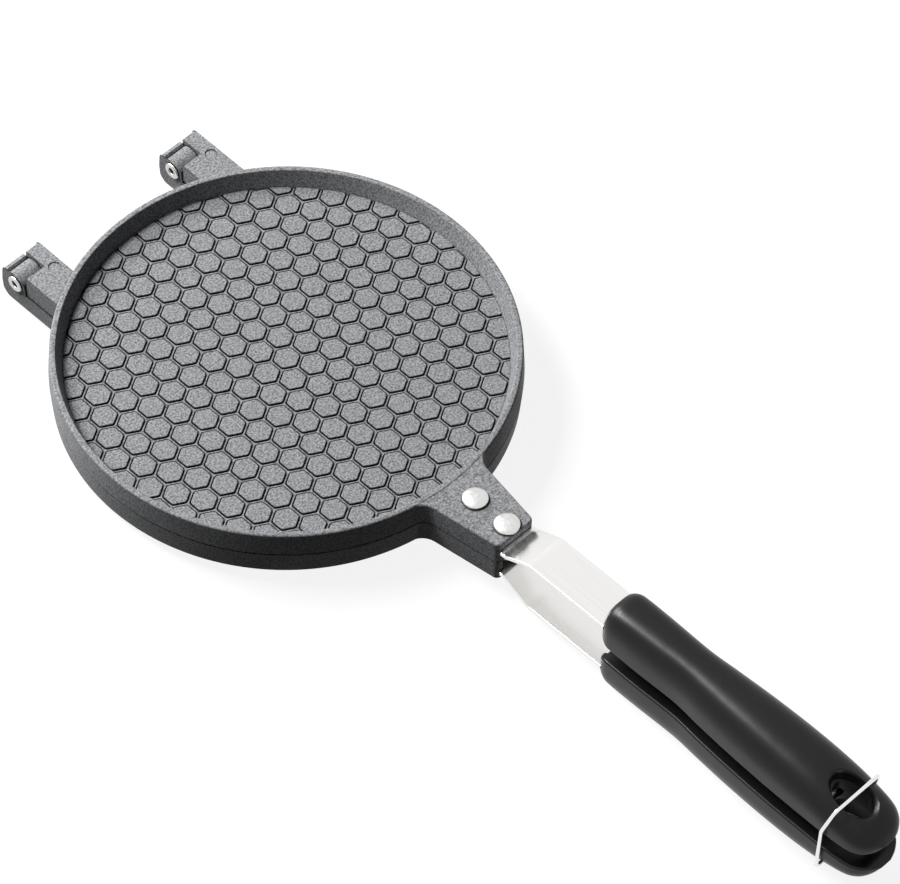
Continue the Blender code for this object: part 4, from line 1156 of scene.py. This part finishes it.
class IRON_OT_hinge_pins(Operator):
    """Finish the two tubular hinge pins"""
    bl_idname = "iron.hinge_pins"
    bl_label = "Hinge Pins"

    def execute(self, context):
        finish = plated_pin_steel(context.scene.iron_metal)
        for name, centre in zip(("left", "right"), HINGES):
            spot = IRON @ shift(centre - EAR_PROUD / 2, PIN_PLACE, PIN_UP) @ CROSSWISE
            place_piece(name + "_pin_tube", pin_shape(), spot, finish, "base", name + "_hinge_pin")
        return {"FINISHED"}


class IRON_OT_straps(Operator):
    """Finish the two steel straps"""
    bl_idname = "iron.straps"
    bl_label = "Straps"

    def execute(self, context):
        finish = polished_stainless_strap(context.scene.iron_metal)
        for side, matrix in HALVES.items():
            place_piece(side + "_strap_strip", strap_shape(), matrix, finish, BODIES[side], side + "_strap")
        return {"FINISHED"}


class IRON_OT_rivets(Operator):
    """Finish the four rivets of the front lugs"""
    bl_idname = "iron.rivets"
    bl_label = "Rivets"

    def execute(self, context):
        finish = headed_aluminium_rivet(context.scene.iron_metal)
        for side, matrix in HALVES.items():
            for place, name in zip(RIVET_PLACES, ("rear", "front")):
                node = f"{side}_{name}_rivet"
                place_piece(node + "_head", rivet_shape(), matrix @ shift(along=-place), finish, BODIES[side], node)
        return {"FINISHED"}


class IRON_OT_handles(Operator):
    """Finish the two moulded handles"""
    bl_idname = "iron.handles"
    bl_label = "Handles"

    def execute(self, context):
        settings = context.scene.iron_handle
        finish = moulded_phenolic(settings)
        for side, matrix in HALVES.items():
            place_piece(side + "_handle_moulding", handle_shape(side, settings), matrix, finish, BODIES[side],
                        side + "_handle")
        return {"FINISHED"}


class IRON_OT_handle_fasteners(Operator):
    """Finish the long screws, washers and nuts inside the handles"""
    bl_idname = "iron.handle_fasteners"
    bl_label = "Handle Fasteners"

    def execute(self, context):
        finish = zinc_plated_screw_steel(context.scene.iron_metal)
        for side, matrix in HALVES.items():
            for kind, make in (("screw", screw_shape), ("washer", washer_shape), ("nut", nut_shape)):
                node = f"{side}_handle_{kind}"
                place_piece(f"{side}_plated_{kind}", make(), matrix, finish, BODIES[side], node)
        return {"FINISHED"}


class IRON_OT_bail(Operator):
    """Finish the wire bail"""
    bl_idname = "iron.bail"
    bl_label = "Wire Bail"

    def execute(self, context):
        finish = drawn_spring_wire(context.scene.iron_metal)
        place_piece("bail_wire_loop", bail_shape(), Matrix.Translation(PIVOT), finish, "bail", "wire_bail")
        return {"FINISHED"}


def floor_plane():
    """The slope on which the iron lies: it touches the far rim and the lower handle."""
    rim_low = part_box("lower_plate")[0].z
    rim = Vector((IRON.translation.y + PLATE_RADIUS - PLATE_DRAFT - RIM_ROUND, rim_low))
    points = [vertex.co for vertex in frame["nodes"]["lower_handle"].data.vertices]
    slope = max((rim.y - point.z) / (rim.x - point.y) for point in points)
    return rim, slope


def seen_directly(tree):
    """Tell the rays that show a background, to the camera or in metal and glass, from those that light things."""
    path = add_node(tree, "ShaderNodeLightPath", {})
    seen = path.outputs["Is Camera Ray"]
    for kind in ("Is Glossy Ray", "Is Transmission Ray"):
        seen = add_node(tree, "ShaderNodeMath", {0: seen, 1: path.outputs[kind]}, operation="MAXIMUM").outputs[0]
    return seen


def matt_floor_paint(settings):
    """White emulsion paint, rolled matt: a plain floor that keeps a soft shadow."""
    material, tree, shader = new_material("matt_floor_paint")
    set_inputs(tree, shader, {"Base Color": (*settings.bounce, 1), "Roughness": 1.0, "Specular IOR Level": 0.0})
    shaded = add_node(tree, "ShaderNodeBsdfDiffuse", {"Color": (*settings.floor, 1)})
    glow = add_node(tree, "ShaderNodeEmission", {"Color": (1, 1, 1, 1), "Strength": 1.0})
    white = add_node(tree, "ShaderNodeMixShader", {0: settings.glow, 1: shaded.outputs[0], 2: glow.outputs[0]})
    mix = add_node(tree, "ShaderNodeMixShader", {0: seen_directly(tree), 1: shader.outputs[0], 2: white.outputs[0]})
    set_inputs(tree, tree.nodes["Material Output"], {"Surface": mix.outputs[0]})
    return material


def room_light(settings):
    """A plain white room, dimmer as light than it is to the eye."""
    world = bpy.data.worlds.new("white_room")
    bpy.context.scene.world = world
    world.use_nodes = True
    tree = world.node_tree
    tree.nodes.clear()
    dim = add_node(tree, "ShaderNodeBackground", {"Color": (1, 1, 1, 1), "Strength": settings.room})
    white = add_node(tree, "ShaderNodeBackground", {"Color": (1, 1, 1, 1), "Strength": 1.0})
    mix = add_node(tree, "ShaderNodeMixShader", {0: seen_directly(tree), 1: dim.outputs[0], 2: white.outputs[0]})
    add_node(tree, "ShaderNodeOutputWorld", {"Surface": mix.outputs[0]})


def add_lamp(name, power, size, offset):
    """Add a soft oblong lamp that points at the plates' centre."""
    light = bpy.data.lights.new(name, "AREA")
    light.energy = power
    light.shape = "RECTANGLE"
    light.size, light.size_y = size
    lamp = in_scene(name, light)
    lamp.location = IRON.translation + Vector(offset)
    lamp.rotation_euler = (-Vector(offset)).to_track_quat("-Z", "Y").to_euler()


def add_camera():
    """Add the camera that sees the iron as the picture does."""
    data = bpy.data.cameras.new("picture_camera")
    data.sensor_width = SENSOR_WIDTH
    data.lens = FOCAL_PIXELS * SENSOR_WIDTH / PICTURE_WIDTH
    camera = in_scene("picture_camera", data)
    ahead = Vector((-sin(CAMERA_TURN) * cos(CAMERA_FALL), cos(CAMERA_TURN) * cos(CAMERA_FALL), -sin(CAMERA_FALL)))
    level = Vector((cos(CAMERA_TURN), sin(CAMERA_TURN), 0))
    upright = level.cross(ahead)
    right = level * cos(CAMERA_ROLL) + upright * sin(CAMERA_ROLL)
    top = upright * cos(CAMERA_ROLL) - level * sin(CAMERA_ROLL)
    facing = Matrix((right, top, -ahead)).transposed().to_4x4()
    camera.matrix_world = Matrix.Translation(IRON.translation + Vector(CAMERA_OFFSET)) @ facing
    bpy.context.scene.camera = camera


class IRON_OT_stage(Operator):
    """Set up the floor, the lamps, the room and the camera"""
    bl_idname = "iron.stage"
    bl_label = "Stage"

    def execute(self, context):
        settings = context.scene.iron_stage
        rim, slope = floor_plane()
        outline = [(FLOOR_REACH * x, FLOOR_REACH * y) for x, y in ((-1, -1), (1, -1), (1, 1), (-1, 1))]
        shape = bmesh.new()
        shape.faces.new([shape.verts.new((x, y, rim.y + slope * (y - rim.x))) for x, y in outline])
        floor = loose_object("pale_floor", shape)
        floor.data.materials.append(matt_floor_paint(settings))
        room_light(settings)
        add_lamp("key_lamp", settings.key, KEY_SIZE, KEY_PLACE)
        add_lamp("back_lamp", settings.back, BACK_SIZE, BACK_PLACE)
        context.scene.view_settings.view_transform = "Standard"
        add_camera()
        return {"FINISHED"}


class IRON_PT_panel(Panel):
    """List the iron's pieces, its stage and their settings"""
    bl_label = "Egg Roll Iron"
    bl_idname = "IRON_PT_panel"
    bl_space_type = "VIEW_3D"
    bl_region_type = "UI"
    bl_category = "Egg Roll Iron"

    def draw(self, context):
        layout = self.layout
        for operator in OPERATORS:
            layout.operator(operator.bl_idname)
        for name, group in SETTINGS.items():
            box = layout.box()
            for key in group.__annotations__:
                box.prop(getattr(context.scene, name), key)


SETTINGS = {
    "iron_plate": PlateSettings,
    "iron_metal": MetalSettings,
    "iron_handle": HandleSettings,
    "iron_stage": StageSettings,
}
OPERATORS = (
    IRON_OT_cast_plates,
    IRON_OT_hinge_pins,
    IRON_OT_straps,
    IRON_OT_rivets,
    IRON_OT_handles,
    IRON_OT_handle_fasteners,
    IRON_OT_bail,
    IRON_OT_stage,
)


def register():
    """Register the settings, the operators and the panel."""
    for name, group in SETTINGS.items():
        bpy.utils.register_class(group)
        setattr(bpy.types.Scene, name, PointerProperty(type=group))
    for item in (*OPERATORS, IRON_PT_panel):
        bpy.utils.register_class(item)


def unregister():
    """Take the panel, the operators and the settings out again."""
    for item in (IRON_PT_panel, *reversed(OPERATORS)):
        bpy.utils.unregister_class(item)
    for name, group in SETTINGS.items():
        delattr(bpy.types.Scene, name)
        bpy.utils.unregister_class(group)


def main():
    """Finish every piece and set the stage."""
    register()
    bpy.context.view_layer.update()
    bpy.ops.iron.cast_plates()
    bpy.ops.iron.hinge_pins()
    bpy.ops.iron.straps()
    bpy.ops.iron.rivets()
    bpy.ops.iron.handles()
    bpy.ops.iron.handle_fasteners()
    bpy.ops.iron.bail()
    bpy.ops.iron.stage()


if __name__ == "__main__":
    main()
